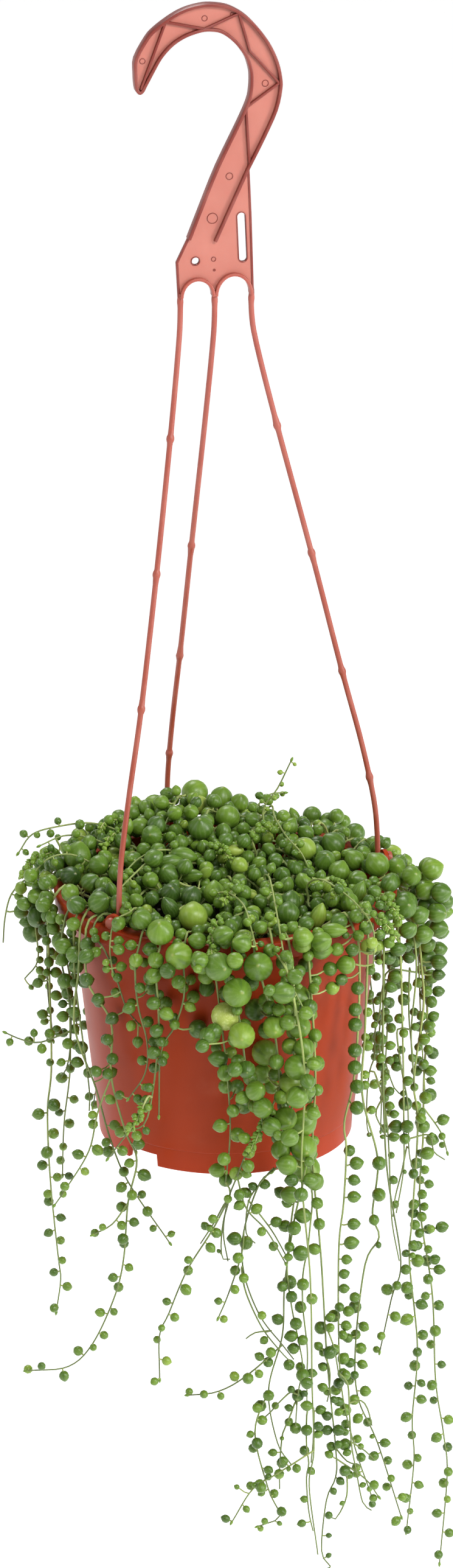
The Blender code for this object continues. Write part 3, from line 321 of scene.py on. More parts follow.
# Pearls of the strands at both sides of the pot, read at FLANK_DEPTH: across, drop, radius, tone
FLANK_DEPTH = -15.0
FLANK_PEARLS = (
    (-84, -10, 2.5, 0.55), (-90, -3, 2.9, 0.7), (-86, -6, 2.5, 0.5), (-82, -3, 3.1, 0.45),
    (-91, 1, 2.0, 0.6), (-77, -6, 3.3, 0.6), (-79, 2, 3.4, 0.4), (-85, 5, 3.3, 0.3), (-90, 8, 3.5, 0.35),
    (-83, 11, 4.5, 0.15), (-85, 18, 4.6, 0.3), (-80, 17, 2.8, 0.1), (-76, 16, 3.1, 0.4),
    (-76, 7, 2.4, 0.4), (-73, 22, 3.9, 0.3), (-67, 14, 3.1, 0.5), (-67, 24, 3.9, 0.35),
    (-63, 19, 3.0, 0.35), (-62, 29, 3.7, 0.3), (-66, 34, 3.5, 0.3), (-72, 31, 3.0, 0.4),
    (-62, 41, 3.3, 0.2), (-71, 41, 3.5, 0.35), (-75, 37, 2.6, 0.55), (-78, 32, 2.4, 0.4),
    (-82, 26, 1.8, 0.5), (-77, 27, 2.0, 0.4), (-82, 31, 1.8, 0.55), (-82, 36, 2.0, 0.6),
    (-79, 37, 1.9, 0.5), (-83, 42, 2.4, 0.4), (-86, 44, 1.3, 0.5), (-75, 48, 2.5, 0.55),
    (-70, 47, 2.9, 0.35), (-67, 56, 2.8, 0.35), (-72, 58, 2.7, 0.5), (-81, 57, 2.4, 0.4),
    (-75, 64, 1.9, 0.4), (-67, 64, 2.4, 0.4), (-85, 66, 1.8, 0.35), (-78, 69, 1.7, 0.4),
    (-70, 71, 2.7, 0.5), (-64, 73, 3.0, 0.2), (-78, 80, 1.9, 0.4), (-73, 80, 2.0, 0.5),
    (-66, 80, 2.7, 0.4), (-61, 85, 2.5, 0.4), (-58, 84, 2.4, 0.5), (-51, 85, 2.6, 0.3),
    (-56, 51, 2.7, 0.2), (-50, 59, 2.9, 0.2), (-53, 69, 2.6, 0.25), (-49, 79, 2.7, 0.25),
    (-64, 5, 3.2, 0.5), (-88, 13, 2.6, 0.3), (-79, 10, 2.4, 0.3), (-79, 22, 2.2, 0.3),
    (-68, 18, 2.4, 0.3), (-72, 52, 2.0, 0.2), (-67, 42, 2.0, 0.2), (88, -10, 4.7, 0.6),
    (89, -13, 4.3, 0.5), (93, -1, 4.7, 0.55), (89, 6, 4.9, 0.3), (96, 8, 3.6, 0.6), (79, 6, 5.2, 0.35),
    (84, 14, 3.9, 0.4), (91, 16, 3.9, 0.4), (95, 18, 3.0, 0.35), (83, 22, 3.6, 0.35), (89, 24, 3.6, 0.4),
    (94, 26, 3.6, 0.35), (89, 30, 4.1, 0.3), (94, 32, 3.6, 0.25), (91, 39, 3.3, 0.4), (94, 38, 2.8, 0.2),
    (75, 31, 3.4, 0.25), (72, 30, 3.3, 0.2), (76, 26, 3.3, 0.25), (81, 30, 2.8, 0.15),
    (75, 39, 3.2, 0.35), (67, 24, 2.9, 0.75), (72, 23, 2.6, 0.5), (68, 19, 2.7, 0.3), (69, 12, 2.9, 0.3),
    (72, 10, 2.5, 0.4), (70, 5, 2.8, 0.35), (72, 1, 2.6, 0.5), (61, 7, 3.4, 0.6), (62, 12, 2.3, 0.75),
    (57, 18, 2.5, 0.4), (72, -5, 3.9, 0.3), (65, -6, 2.7, 0.3), (79, -7, 3.8, 0.5), (75, -13, 4.3, 0.55),
    (63, 3, 2.8, 0.3), (68, 5, 2.2, 0.3), (64, 36, 2.3, 0.35), (80, 25, 2.2, 0.1), (77, 18, 2.0, 0.2),
    (94, 46, 2.7, 0.2), (89, 46, 2.7, 0.4), (91, 51, 2.9, 0.35), (79, 50, 2.9, 0.3), (73, 44, 2.6, 0.3),
    (80, 44, 2.6, 0.45), (71, 51, 1.9, 0.2), (67, 51, 1.5, 0.4), (67, 58, 2.2, 0.3), (63, 56, 2.2, 0.6),
    (72, 59, 2.1, 0.25), (77, 59, 2.4, 0.4), (66, 62, 1.6, 0.5), (79, 66, 2.2, 0.5), (84, 63, 1.9, 0.4),
    (92, 58, 2.6, 0.35), (90, 63, 2.8, 0.4), (88, 69, 2.8, 0.5), (90, 74, 2.4, 0.4), (69, 69, 2.8, 0.35),
    (73, 72, 2.2, 0.45), (63, 72, 2.6, 0.55), (62, 68, 2.0, 0.6), (78, 74, 2.0, 0.25), (83, 78, 2.0, 0.4),
    (88, 81, 2.6, 0.4), (91, 84, 2.7, 0.5), (69, 78, 2.2, 0.5), (69, 82, 2.3, 0.3), (76, 78, 2.1, 0.35),
    (76, 82, 2.4, 0.3), (73, 79, 2.0, 0.4), (62, 86, 2.1, 0.65), (62, 91, 2.2, 0.5), (71, 87, 2.0, 0.45),
    (73, 94, 2.2, 0.35), (81, 89, 2.4, 0.4), (84, 92, 2.0, 0.4), (89, 97, 3.0, 0.5), (79, 95, 1.5, 0.2),
    (80, 100, 3.2, 0.15), (85, 101, 2.4, 0.5), (73, 101, 2.2, 0.5), (75, 105, 2.1, 0.4),
    (65, 103, 2.1, 0.5), (76, 111, 3.1, 0.2), (81, 111, 3.0, 0.25), (88, 111, 3.1, 0.45),
    (87, 107, 2.6, 0.55), (75, 116, 2.4, 0.4), (80, 117, 2.6, 0.35), (70, 116, 1.1, 0.4),
    (64, 115, 1.2, 0.4), (74, 125, 1.7, 0.4), (75, 137, 2.1, 0.3), (84, 134, 2.4, 0.25),
    (90, 124, 3.0, 0.5), (87, 124, 1.9, 0.15), (89, 132, 2.2, 0.55), (91, 139, 2.2, 0.4),
    (88, 144, 2.4, 0.45), (89, 150, 2.1, 0.5), (88, 155, 2.4, 0.5), (85, 159, 2.5, 0.4),
    (87, 163, 2.3, 0.35), (84, 169, 2.2, 0.35), (76, 149, 1.9, 0.4), (80, 133, 1.1, 0.3),
    (97, 160, 2.8, 0.35), (92, 161, 2.1, 0.6), (91, 171, 2.1, 0.5), (94, 176, 2.5, 0.35),
    (96, 181, 2.5, 0.4), (81, 173, 1.9, 0.2), (84, 174, 1.5, 0.5), (81, 181, 2.5, 0.35),
    (92, 115, 1.2, 0.5),
)
# Pearls of the strands below the pot, read at LOW_DEPTH: across, drop, radius, tone
LOW_DEPTH = -76.0
LOW_PEARLS = (
    (54, 96, 2.7, 0.3), (57, 102, 3.0, 0.4), (56, 110, 2.7, 0.35), (56, 118, 2.8, 0.5),
    (56, 131, 2.8, 0.35), (55, 140, 3.1, 0.4), (53, 148, 2.4, 0.45), (52, 155, 2.4, 0.35),
    (52, 162, 2.3, 0.4), (67, 102, 3.2, 0.35), (67, 117, 3.1, 0.4), (65, 129, 2.5, 0.4),
    (67, 141, 1.5, 0.3), (0, 110, 3.1, 0.35), (9, 107, 2.2, 0.5), (12, 113, 2.0, 0.2),
    (17, 112, 2.4, 0.35), (6, 117, 2.6, 0.35), (9, 116, 2.4, 0.4), (1, 119, 2.0, 0.55),
    (6, 122, 2.4, 0.45), (-9, 132, 2.0, 0.3), (-7, 133, 1.7, 0.5), (-3, 144, 1.0, 0.3),
    (4, 138, 3.1, 0.3), (9, 140, 3.0, 0.4), (8, 157, 2.4, 0.6), (37, 110, 3.2, 0.4), (40, 111, 2.9, 0.45),
    (29, 110, 3.0, 0.2), (24, 116, 2.8, 0.25), (28, 117, 4.0, 0.45), (33, 117, 3.2, 0.35),
    (27, 121, 2.3, 0.4), (40, 121, 2.8, 0.45), (34, 127, 3.6, 0.35), (22, 130, 2.6, 0.35),
    (26, 132, 2.9, 0.4), (30, 133, 3.2, 0.35), (41, 131, 2.8, 0.45), (28, 142, 2.4, 0.4),
    (33, 145, 3.6, 0.35), (39, 143, 2.8, 0.5), (25, 161, 2.6, 0.3), (28, 159, 3.3, 0.3),
    (34, 160, 2.9, 0.45), (29, 166, 2.8, 0.25), (38, 167, 2.7, 0.5), (33, 171, 2.8, 0.4),
    (16, 175, 2.1, 0.7), (23, 177, 2.7, 0.3), (31, 179, 2.9, 0.35), (46, 176, 2.2, 0.5),
    (42, 181, 3.0, 0.3), (46, 181, 2.2, 0.55), (54, 173, 2.6, 0.45), (53, 180, 2.5, 0.45),
    (54, 186, 2.3, 0.35), (17, 187, 2.0, 0.45), (29, 185, 2.8, 0.4), (34, 187, 2.5, 0.4),
    (30, 191, 2.7, 0.35), (41, 190, 2.1, 0.4), (43, 193, 2.0, 0.5), (46, 193, 3.0, 0.2),
    (15, 195, 2.1, 0.45), (20, 193, 2.5, 0.55), (52, 196, 2.8, 0.45), (55, 198, 2.4, 0.3),
    (28, 199, 2.7, 0.35), (33, 200, 2.3, 0.45), (43, 200, 2.2, 0.35), (34, 204, 3.0, 0.35),
    (38, 203, 2.2, 0.3), (36, 208, 2.8, 0.3), (43, 210, 2.2, 0.45), (45, 212, 2.0, 0.5),
    (53, 204, 2.5, 0.5), (57, 204, 2.1, 0.3), (50, 208, 2.6, 0.15), (19, 214, 2.7, 0.4),
    (14, 220, 2.4, 0.55), (22, 219, 1.8, 0.5), (28, 220, 1.8, 0.3), (29, 211, 1.8, 0.25),
    (32, 214, 2.9, 0.25), (35, 213, 1.5, 0.1), (36, 219, 2.5, 0.45), (48, 216, 1.7, 0.3),
    (50, 217, 2.3, 0.3), (57, 216, 2.5, 0.6), (42, 221, 2.3, 0.4), (45, 224, 2.3, 0.1),
    (53, 221, 2.9, 0.5), (28, 227, 2.0, 0.45), (31, 230, 2.8, 0.4), (36, 231, 2.7, 0.35),
    (41, 229, 2.2, 0.1), (41, 233, 2.0, 0.45), (45, 231, 2.5, 0.15), (50, 231, 2.7, 0.2),
    (53, 232, 1.8, 0.3), (11, 233, 1.8, 0.5), (25, 235, 1.1, 0.5), (47, 239, 2.3, 0.4),
    (50, 238, 2.0, 0.3), (53, 238, 2.9, 0.35), (46, 243, 1.9, 0.5), (54, 242, 1.8, 0.4),
    (21, 242, 1.9, 0.45), (35, 241, 2.4, 0.3), (60, 239, 1.6, 0.5), (25, 247, 2.6, 0.3),
    (28, 250, 1.2, 0.5), (38, 251, 1.9, 0.5), (53, 251, 2.7, 0.25), (55, 253, 2.0, 0.4),
    (51, 256, 2.0, 0.2), (19, 254, 1.7, 0.3), (13, 258, 1.5, 0.5), (16, 262, 1.6, 0.45),
    (24, 254, 0.9, 0.5), (5, 259, 1.3, 0.5), (48, 261, 1.7, 0.3), (61, 258, 1.4, 0.5),
    (64, 260, 1.4, 0.6), (35, 265, 1.8, 0.45), (52, 267, 1.2, 0.5), (46, 273, 1.9, 0.3),
    (34, 277, 1.9, 0.35), (24, 277, 1.2, 0.5), (65, 234, 1.2, 0.5), (46, 283, 1.3, 0.2),
    (46, 293, 1.3, 0.2), (46, 300, 1.0, 0.2),
)
# Fine side stems as across and drop: right of the pot, read at FLANK_DEPTH, and below it, at LOW_DEPTH
FLANK_STEMS = (
    ((72, 32), (69, 42), (68, 53), (66, 63), (66, 75), (64, 83), (63, 95), (63, 110), (64, 115)),
    ((70, 53), (69, 68), (71, 78), (75, 91), (79, 95)),
    ((81, 31), (81, 54), (83, 76), (84, 92)),
    ((76, 61), (77, 74), (79, 87), (81, 99), (82, 124), (84, 133)),
    ((66, 83), (70, 97), (72, 110), (73, 124), (74, 148), (75, 160), (78, 176)),
    ((69, 98), (67, 105), (72, 116)),
    ((81, 122), (79, 133), (76, 146), (75, 155)),
    ((91, 116), (93, 124), (98, 128)),
)
LOW_STEMS = (
    ((21, 103), (15, 111), (10, 120), (9, 135), (13, 140)),
    ((10, 120), (20, 134), (27, 147)),
    ((2, 115), (-1, 129), (-2, 141), (-1, 147), (2, 147)),
    ((0, 120), (-5, 130), (-11, 140)),
    ((7, 150), (9, 162), (16, 179), (24, 191), (28, 196)),
    ((20, 180), (13, 181), (9, 184)),
    ((37, 113), (38, 120), (37, 133), (36, 143), (34, 155), (34, 170), (36, 190), (36, 205), (36, 219)),
    ((30, 121), (28, 138), (27, 153), (29, 170), (32, 186), (34, 200), (32, 214), (31, 230)),
    ((29, 213), (24, 218), (20, 223), (17, 226)),
    ((31, 218), (29, 224), (26, 232), (25, 236), (24, 250), (24, 260)),
    ((37, 219), (36, 225), (36, 240), (37, 248), (36, 255), (37, 270), (39, 280)),
    ((39, 222), (39, 236), (38, 248)),
    ((43, 194), (46, 203), (46, 213), (45, 219)),
    ((45, 184), (48, 193), (50, 205)),
    ((50, 205), (54, 210), (55, 225), (56, 240), (58, 251), (61, 266), (65, 270)),
    ((60, 219), (63, 223), (65, 231)),
    ((49, 242), (54, 248), (60, 250)),
    ((56, 239), (62, 243), (66, 247)),
    ((54, 252), (54, 264), (51, 272), (49, 275), (46, 274)),
)
# Large pearls round the rim: across, back, drop, radius, tone
SIDE_PEARLS = (
    (91, -5, -8, 5.0, 0.65), (94, 3, -8, 4.6, 0.4), (88, -10, 0, 4.6, 0.6), (95, -8, 2, 4.6, 0.35),
    (79, -25, 0, 5.2, 0.35), (85, -22, 7, 4.2, 0.4), (93, -14, 9, 4.6, 0.4), (80, -30, 11, 3.8, 0.4),
    (87, -20, 17, 4.2, 0.45), (94, -10, 18, 4.2, 0.35), (82, -8, -6, 4.4, 0.5), (97, 2, 10, 4.2, 0.3),
    (-79, -20, -7, 3.2, 0.4), (-80, -25, 1, 3.5, 0.4), (-76, -30, 5, 3.0, 0.4), (-72, -36, 8, 4.0, 0.45),
    (-66, -44, 3, 3.6, 0.4), (-71, -41, 14, 3.7, 0.4), (-60, -52, 9, 3.4, 0.3), (-66, -46, 16, 3.8, 0.35),
    (-84, -12, 2, 3.4, 0.5), (-86, -5, -5, 3.2, 0.55), (-89, -6, 8, 3.2, 0.4), (-80, -20, 14, 3.4, 0.3),
    (66, -38, -4, 3.5, 0.45), (70, -28, -5, 3.4, 0.5), (61, -45, -3, 3.2, 0.4), (73, -18, -5, 3.6, 0.45),
    (57, -51, -4, 3.3, 0.45), (76, -8, -5, 3.8, 0.5), (78, 2, -5, 3.6, 0.45), (65, -30, -7, 3.2, 0.4),
)
# Pearls of the crown as the camera sees them, read this far above the rim: across, back, radius, tone
READ_RISE = 8.0
CROWN_PEARLS = (
    (-15, 90, 5.0, 0.85), (-25, 88, 4.6, 0.45), (-29, 79, 3.4, 0.55), (-36, 73, 3.4, 0.5),
    (-23, 65, 3.4, 0.55), (-11, 46, 5.6, 0.3), (-31, 50, 4.2, 0.2), (-33, 37, 4.6, 0.4),
    (1, 60, 5.6, 0.55), (-1, 42, 3.6, 0.4), (0, 31, 3.3, 0.3), (-7, 12, 2.8, 0.3), (-33, -18, 3.7, 0.5),
    (-25, -11, 4.6, 0.3), (-5, -34, 4.8, 0.6), (-55, -45, 4.9, 0.3), (-65, -48, 4.2, 0.25),
    (-59, -22, 4.6, 0.35), (-54, -24, 3.4, 0.45), (-68, -14, 4.6, 0.05), (-40, -9, 3.2, 0.3),
    (-39, -43, 3.3, 0.45), (-37, -66, 4.6, 0.4), (-14, -62, 6.4, 0.75), (-43, -55, 2.9, 0.5),
    (-32, 8, 4.2, 0.35), (-30, 18, 3.6, 0.45), (-56, 0, 4.6, 0.45), (-24, -34, 4.4, 0.1),
    (-15, -38, 4.6, 0.1), (5, 75, 4.4, 0.5), (12, 70, 3.6, 0.35), (17, 79, 2.1, 0.4), (17, 69, 2.3, 0.3),
    (12, 57, 3.4, 0.4), (19, 55, 3.2, 0.4), (16, 35, 4.6, 0.15), (25, 47, 3.2, 0.5), (29, 49, 3.4, 0.5),
    (8, 30, 3.2, 0.3), (29, 20, 3.2, 0.5), (35, 20, 5.4, 0.75), (39, 62, 4.4, 0.4), (46, 56, 3.6, 0.5),
    (53, 54, 3.4, 0.5), (45, 46, 4.2, 0.4), (48, 26, 5.5, 0.3), (58, 40, 4.6, 0.3), (44, 5, 4.8, 0.35),
    (50, -8, 4.9, 0.5), (57, 6, 4.6, 0.5), (67, 0, 5.5, 0.55), (76, 0, 5.2, 0.6), (66, 27, 3.4, 0.5),
    (61, 14, 3.8, 0.45), (58, -18, 4.3, 0.4), (73, -20, 4.0, 0.4), (65, -20, 2.7, 0.35),
    (45, -24, 3.5, 0.75), (39, -24, 3.0, 0.7), (34, -20, 3.7, 0.55), (25, -12, 3.7, 0.3),
    (6, 0, 3.8, 0.75), (17, -10, 3.4, 0.2), (6, -20, 3.6, 0.35), (8, -33, 3.3, 0.4), (15, -81, 4.8, 0.55),
    (27, -58, 5.2, 0.3), (28, -45, 4.6, 0.25), (33, -86, 4.5, 0.6), (41, -91, 4.5, 0.5),
    (49, -67, 3.7, 0.3), (57, -84, 2.7, 0.5), (60, -50, 3.7, 0.5), (7, -93, 4.2, 0.5), (2, -75, 3.5, 0.4),
    (-1, -84, 4.4, 0.5), (22, -42, 3.0, 0.4), (15, -44, 3.4, 0.35), (10, 10, 3.0, 0.4), (22, 6, 3.4, 0.3),
    (36, 40, 3.6, 0.4), (8, 45, 3.2, 0.4), (-46, 30, 4.0, 0.3), (-20, 28, 3.4, 0.4), (-18, -2, 3.6, 0.35),
    (-48, -10, 3.6, 0.4), (40, -48, 3.4, 0.25), (44, 66, 4.0, 0.5), (50, 61, 3.6, 0.45),
    (37, 70, 3.6, 0.4), (-42, 66, 3.8, 0.45), (-48, 60, 3.6, 0.4),
)
# Pointed leaves of the crown, read like its pearls: across, back, radius, tone and where the point looks
CROWN_SPINDLES = (
    (40, -62, 5.0, 0.75, (0.3, -0.1, 1.0)), (46, -78, 4.6, 0.6, (1.0, -0.2, 0.1)),
    (58, -34, 4.6, 0.5, (0.4, 0.1, 1.0)), (-24, -52, 5.0, 0.2, (-0.5, -0.3, 1.0)),
    (-15, -13, 4.2, 0.45, (1.0, -0.4, 0.3)), (-9, -10, 3.4, 0.7, (0.7, -0.5, 0.8)),
    (-19, 12, 5.4, 0.45, (1.0, 0.0, -0.2)), (-25, 4, 4.6, 0.4, (1.0, 0.1, 0.2)),
    (4, 18, 3.8, 0.9, (-1.0, -0.2, 0.1)), (66, 20, 3.6, 0.5, (0.2, -0.3, 1.0)),
    (31, 60, 3.6, 0.6, (-0.4, 0.2, 1.0)), (-44, 46, 3.6, 0.6, (0.3, 0.0, 1.0)),
    (-50, -30, 3.6, 0.3, (-0.2, -0.6, 1.0)),
)
# Dark hollows of the crown, read like its pearls: across, back, radius
CROWN_GAPS = (
    (-27, -45, 5.0), (-34, -52, 5.0), (-20, -25, 4.0), (30, -70, 5.0), (50, -50, 4.0), (12, -26, 4.0),
    (-70, -22, 4.0), (-39, 27, 4.0), (16, 22, 3.5), (46, 12, 3.0), (35, -36, 4.0), (-64, -30, 4.0),
)
# Stretches of the rim that the leaves leave bare, further out than this: from and to these azimuths
BARE_FROM = 72.0
BARE_RIM = ((-64.0, -50.0), (-46.0, -27.0), (9.0, 19.0), (47.0, 55.0))
# Patches of the wall that leaves so far before and behind FRONT_DEPTH leave bare, read at that depth: from
# and to across, from and to drop
WALL_BEFORE = 20.0
WALL_BEHIND = 50.0
BARE_WALL = ((40, 53, 26, 106), (-26, -12, 42, 106), (-33, -12, 58, 106), (-45, -39, 48, 100))
# Pale stems that cross the crown, some of them out over the rim: across, back, rise above the rim
RUNNERS = (
    ((20, 50, 17), (22, 36, 17), (27, 12, 17), (33, -2, 15), (36, -10, 12)),
    ((17, -20, 10), (19, -30, 14), (21, -56, 14), (23, -76, 9), (25, -86, 0), (28, -88, -12),
     (33, -88, -23)),
    ((36, -28, 10), (42, -36, 15), (52, -48, 13), (60, -60, 9), (64, -68, 3), (64, -67, -12)),
    ((-4, -40, 10), (2, -50, 14), (8, -62, 13), (11, -76, 8), (13, -84, 3)),
    ((-22, 6, 12), (-30, 0, 15), (-38, -10, 15), (-44, -18, 12)),
    ((-34, -6, 12), (-40, -24, 13), (-46, -36, 11), (-50, -42, 8)),
    ((-20, 66, 16), (-22, 50, 20), (-25, 36, 18), (-29, 26, 13)),
    ((-48, 36, 10), (-60, 34, 15), (-74, 30, 15), (-86, 28, 12), (-92, 24, 5)),
    ((-52, 20, 10), (-62, 22, 13), (-72, 18, 15), (-82, 14, 12)),
    ((-58, -2, 9), (-68, 0, 13), (-78, -2, 12), (-86, -6, 5)),
    ((8, 40, 12), (14, 50, 17), (20, 60, 19), (26, 62, 19)),
    ((-38, -50, 7), (-42, -60, 9), (-48, -63, 6), (-50, -66, -4), (-49, -67, -16)),
)
# Growing tips crowded with tiny bright leaves: across, back, rise above the rim
SPRIGS = (
    ((-2, -64, 8), (-5, -76, 8), (-6, -86, 0), (-5, -88, -6)),
    ((6, -36, 12), (3, -46, 14), (-1, -54, 12)),
    ((-44, 28, 12), (-50, 20, 15), (-54, 12, 13)),
    ((-46, 42, 12), (-52, 36, 16), (-56, 30, 14)),
    ((60, -58, 8), (68, -62, 6), (74, -62, -2)),
    ((46, -30, 12), (50, -40, 14), (47, -46, 12)),
    ((-74, 18, 8), (-84, 10, 8), (-90, 4, 2)),
    ((66, -36, 6), (72, -44, 6), (76, -44, 0)),
    ((-6, 8, 12), (-2, 2, 15), (2, -6, 13)),
    ((24, -80, -64), (18, -86, -76), (13, -88, -86), (10, -88, -92)),
    ((-34, -78, -70), (-38, -82, -78), (-42, -82, -84)),
    ((12, 20, 12), (14, 26, 15), (20, 30, 15)),
)

# Kinds of leaf
STEM_POINT, BIG_PEARL, PEARL, SMALL_PEARL, SPINDLE, BUD = range(6)

# Camera, as the photograph was taken: metres and degrees
CAMERA_PLACE = (0.0064, -2.6, 0.626)
CAMERA_PITCH = 20.34
CAMERA_LENS = 145.0
# How far up a spot seems to go for each millimetre back, and how far back for each millimetre up
SEEN_UP = 0.37
SEEN_BACK = 2.7
FLOOR_HEIGHT = -1.5


def colour(code):
    """A colour from its six hexadecimal digits, made linear."""
    parts = [int(code[place : place + 2], 16) / 255 for place in (0, 2, 4)]
    return [part / 12.92 if part < 0.04045 else ((part + 0.055) / 1.055) ** 2.4 for part in parts]


class Value:
    """A number that varies over a surface. Sums with it add their Math nodes."""

    def __init__(self, tree, socket):
        self.tree = tree
        self.socket = socket

    def __add__(self, other):
        return self.tree.maths("ADD", self, other)

    def __radd__(self, other):
        return self.tree.maths("ADD", other, self)

    def __sub__(self, other):
        return self.tree.maths("SUBTRACT", self, other)

    def __rsub__(self, other):
        return self.tree.maths("SUBTRACT", other, self)

    def __mul__(self, other):
        return self.tree.maths("MULTIPLY", self, other)

    def __rmul__(self, other):
        return self.tree.maths("MULTIPLY", other, self)

    def __pow__(self, other):
        return self.tree.maths("POWER", self, other)

    def __abs__(self):
        return self.tree.maths("ABSOLUTE", self)


def pick(sockets, key):
    """The socket with a number, or the live one with a name."""
    if isinstance(key, int):
        return sockets[key]
    return next(socket for socket in sockets if socket.name == key and socket.enabled)


def set_stops(bar, stops):
    """Gives a colour ramp its stops of (place, colour)."""
    while len(bar) < len(stops):
        bar.new(0.5)
    for element, (place, tint) in zip(bar, stops):
        element.position = place
        element.color = (*tint, 1.0)


class Tree:
    """A node tree in the making, for a material or for Geometry Nodes."""

    def __init__(self, tree):
        self.tree = tree

    def node(self, kind, inputs=None, output=0, stops=(), **settings):
        """Adds a node with its settings, fills its sockets and gives back one of its outputs."""
        made = self.tree.nodes.new(kind)
        for name, value in settings.items():
            setattr(made, name, value)
        if stops:
            set_stops(made.color_ramp.elements, stops)
        for key, value in (inputs or {}).items():
            self.fill(pick(made.inputs, key), value)
        return Value(self, pick(made.outputs, output))

    def fill(self, socket, value):
        """Links a value to a socket, or sets a plain one."""
        if isinstance(value, Value):
            self.tree.links.new(value.socket, socket)
        else:
            socket.default_value = value

    def maths(self, operation, *values):
        """A Math node on some values."""
        return self.node("ShaderNodeMath", dict(enumerate(values)), operation=operation)

    def parts(self, vector):
        """The three numbers of a vector."""
        first = self.node("ShaderNodeSeparateXYZ", {0: vector})
        return [Value(self, output) for output in first.socket.node.outputs]

    def step(self, value, low, high):
        """0 below low and 1 above high, with a smooth slope between."""
        return self.node(
            "ShaderNodeMapRange",
            {"Value": value, "From Min": low, "From Max": high},
            interpolation_type="SMOOTHSTEP",
        )


class Finish(Tree):
    """A material with one Principled shader."""

    def __init__(self, name, **constants):
        material = bpy.data.materials.new(name)
        material.use_nodes = True
        super().__init__(material.node_tree)
        self.material = material
        self.shader = material.node_tree.nodes["Principled BSDF"]
        for key, value in constants.items():
            self.shader.inputs[key.replace("_", " ")].default_value = value
        self.place = self.node("ShaderNodeTexCoord", output="Object")

    def set(self, socket, value):
        """Sets or links a socket of the shader."""
        self.fill(self.shader.inputs[socket], value)

    def attribute(self, name, output="Fac"):
        """A value stored on the mesh."""
        return self.node("ShaderNodeAttribute", output=output, attribute_name=name)

    def noise(self, scale, detail=2.0, stretch=(1.0, 1.0, 1.0), rough=0.5):
        """Cloudy noise from 0 to 1; scale counts its features in a metre."""
        where = self.place
        if stretch != (1.0, 1.0, 1.0):
            where = self.node("ShaderNodeMapping", {"Vector": where, "Scale": stretch})
        inputs = {"Vector": where, "Scale": scale, "Detail": detail, "Roughness": rough}
        return self.node("ShaderNodeTexNoise", inputs)

    def mix(self, share, first, second):
        """A colour between two."""
        inputs = {0: share}
        for key, value in ((6, first), (7, second)):
            inputs[key] = value if isinstance(value, Value) else (*value, 1.0)
        return self.node("ShaderNodeMix", inputs, output=2, data_type="RGBA")

    def ramp(self, value, *stops):
        """A colour read from stops of (place, colour)."""
        return self.node("ShaderNodeValToRGB", {0: value}, stops=stops)

    def done(self, shade, rough, height, depth):
        """The material with this colour, roughness and height, whose relief is so many millimetres deep."""
        self.set("Base Color", shade)
        self.set("Roughness", rough)
        inputs = {"Height": height, "Distance": depth * MM, "Strength": 1.0}
        self.set("Normal", self.node("ShaderNodeBump", inputs))
        return self.material


def pearl_finish():
    """Waxy green leaf: faint meridian lines, one darker window stripe, a paler dry tip."""
    leaf = Finish(
        "waxy_leaf",
        IOR=1.42,
        Subsurface_Weight=0.10,
        Subsurface_Scale=0.0012,
        Subsurface_Radius=(1.0, 1.0, 0.3),
        Specular_IOR_Level=0.62,
    )
    x, y, z = leaf.parts(leaf.attribute("leaf_place", "Vector"))
    tone = leaf.attribute("tone")
    cloud = leaf.noise(260.0, 3.0)
    broad = leaf.noise(42.0, 2.0)
    fleck = leaf.noise(1500.0, 2.0)
    turn = leaf.maths("ARCTAN2", y, x)
    belt = 1.0 - z * z
    lines = (leaf.maths("SINE", turn * 15.0 + cloud * 6.0) * 0.5 + 0.5) ** 3.0 * belt
    window = (1.0 - leaf.step(abs(turn), 0.04, 0.26)) * leaf.step(belt, 0.0, 0.5)
    shade = leaf.ramp(
        tone + (cloud - 0.5) * 0.30 + (broad - 0.5) * 0.25,
        (0.0, colour("2b4710")),
        (0.3, colour("46671a")),
        (0.6, colour("668724")),
        (0.85, colour("8aa33a")),
        (1.0, colour("a8b655")),
    )
    shade = leaf.mix(lines * 0.10, shade, colour("b6c486"))
    pale = leaf.step(tone, 0.90, 1.0)
    speckle = leaf.step(leaf.noise(620.0, 4.0, rough=0.7), 0.48, 0.62)
    shade = leaf.mix(window * (1.0 - pale) * 0.45, shade, colour("34511c"))
    shade = leaf.mix(pale * speckle * 0.6, shade, colour("ced48a"))
    shade = leaf.mix(leaf.step(fleck, 0.62, 0.80) * 0.22, shade, colour("a9c280"))
    shade = leaf.mix(leaf.step(z, 0.965, 1.0) * 0.5, shade, colour("a8a766"))
    shade = leaf.mix(leaf.step(z, -0.86, -1.0) * 0.5, shade, colour("9fb46a"))
    rough = 0.28 + cloud * 0.20 - window * 0.06
    return leaf.done(shade, rough, fleck * 0.4 + lines * 0.2 + cloud * 0.4, 0.05)


def stem_finish():
    """Thin succulent stem: pale olive where it is young or lit, brown-green where it is old."""
    stem = Finish("trailing_stem", Subsurface_Weight=0.05, Subsurface_Scale=0.001)
    tone = stem.attribute("tone")
    patch = stem.noise(90.0, 3.0)
    fleck = stem.noise(1800.0, 2.0)
    shade = stem.ramp(
        tone + (patch - 0.5) * 0.4,
        (0.0, colour("4d5a30")),
        (0.35, colour("6f8145")),
        (0.7, colour("9dab60")),
        (1.0, colour("c6c48c")),
    )
    shade = stem.mix(stem.step(fleck, 0.55, 0.75) * 0.3, shade, colour("7a5f45"))
    return stem.done(shade, 0.5 + fleck * 0.2, fleck, 0.08)


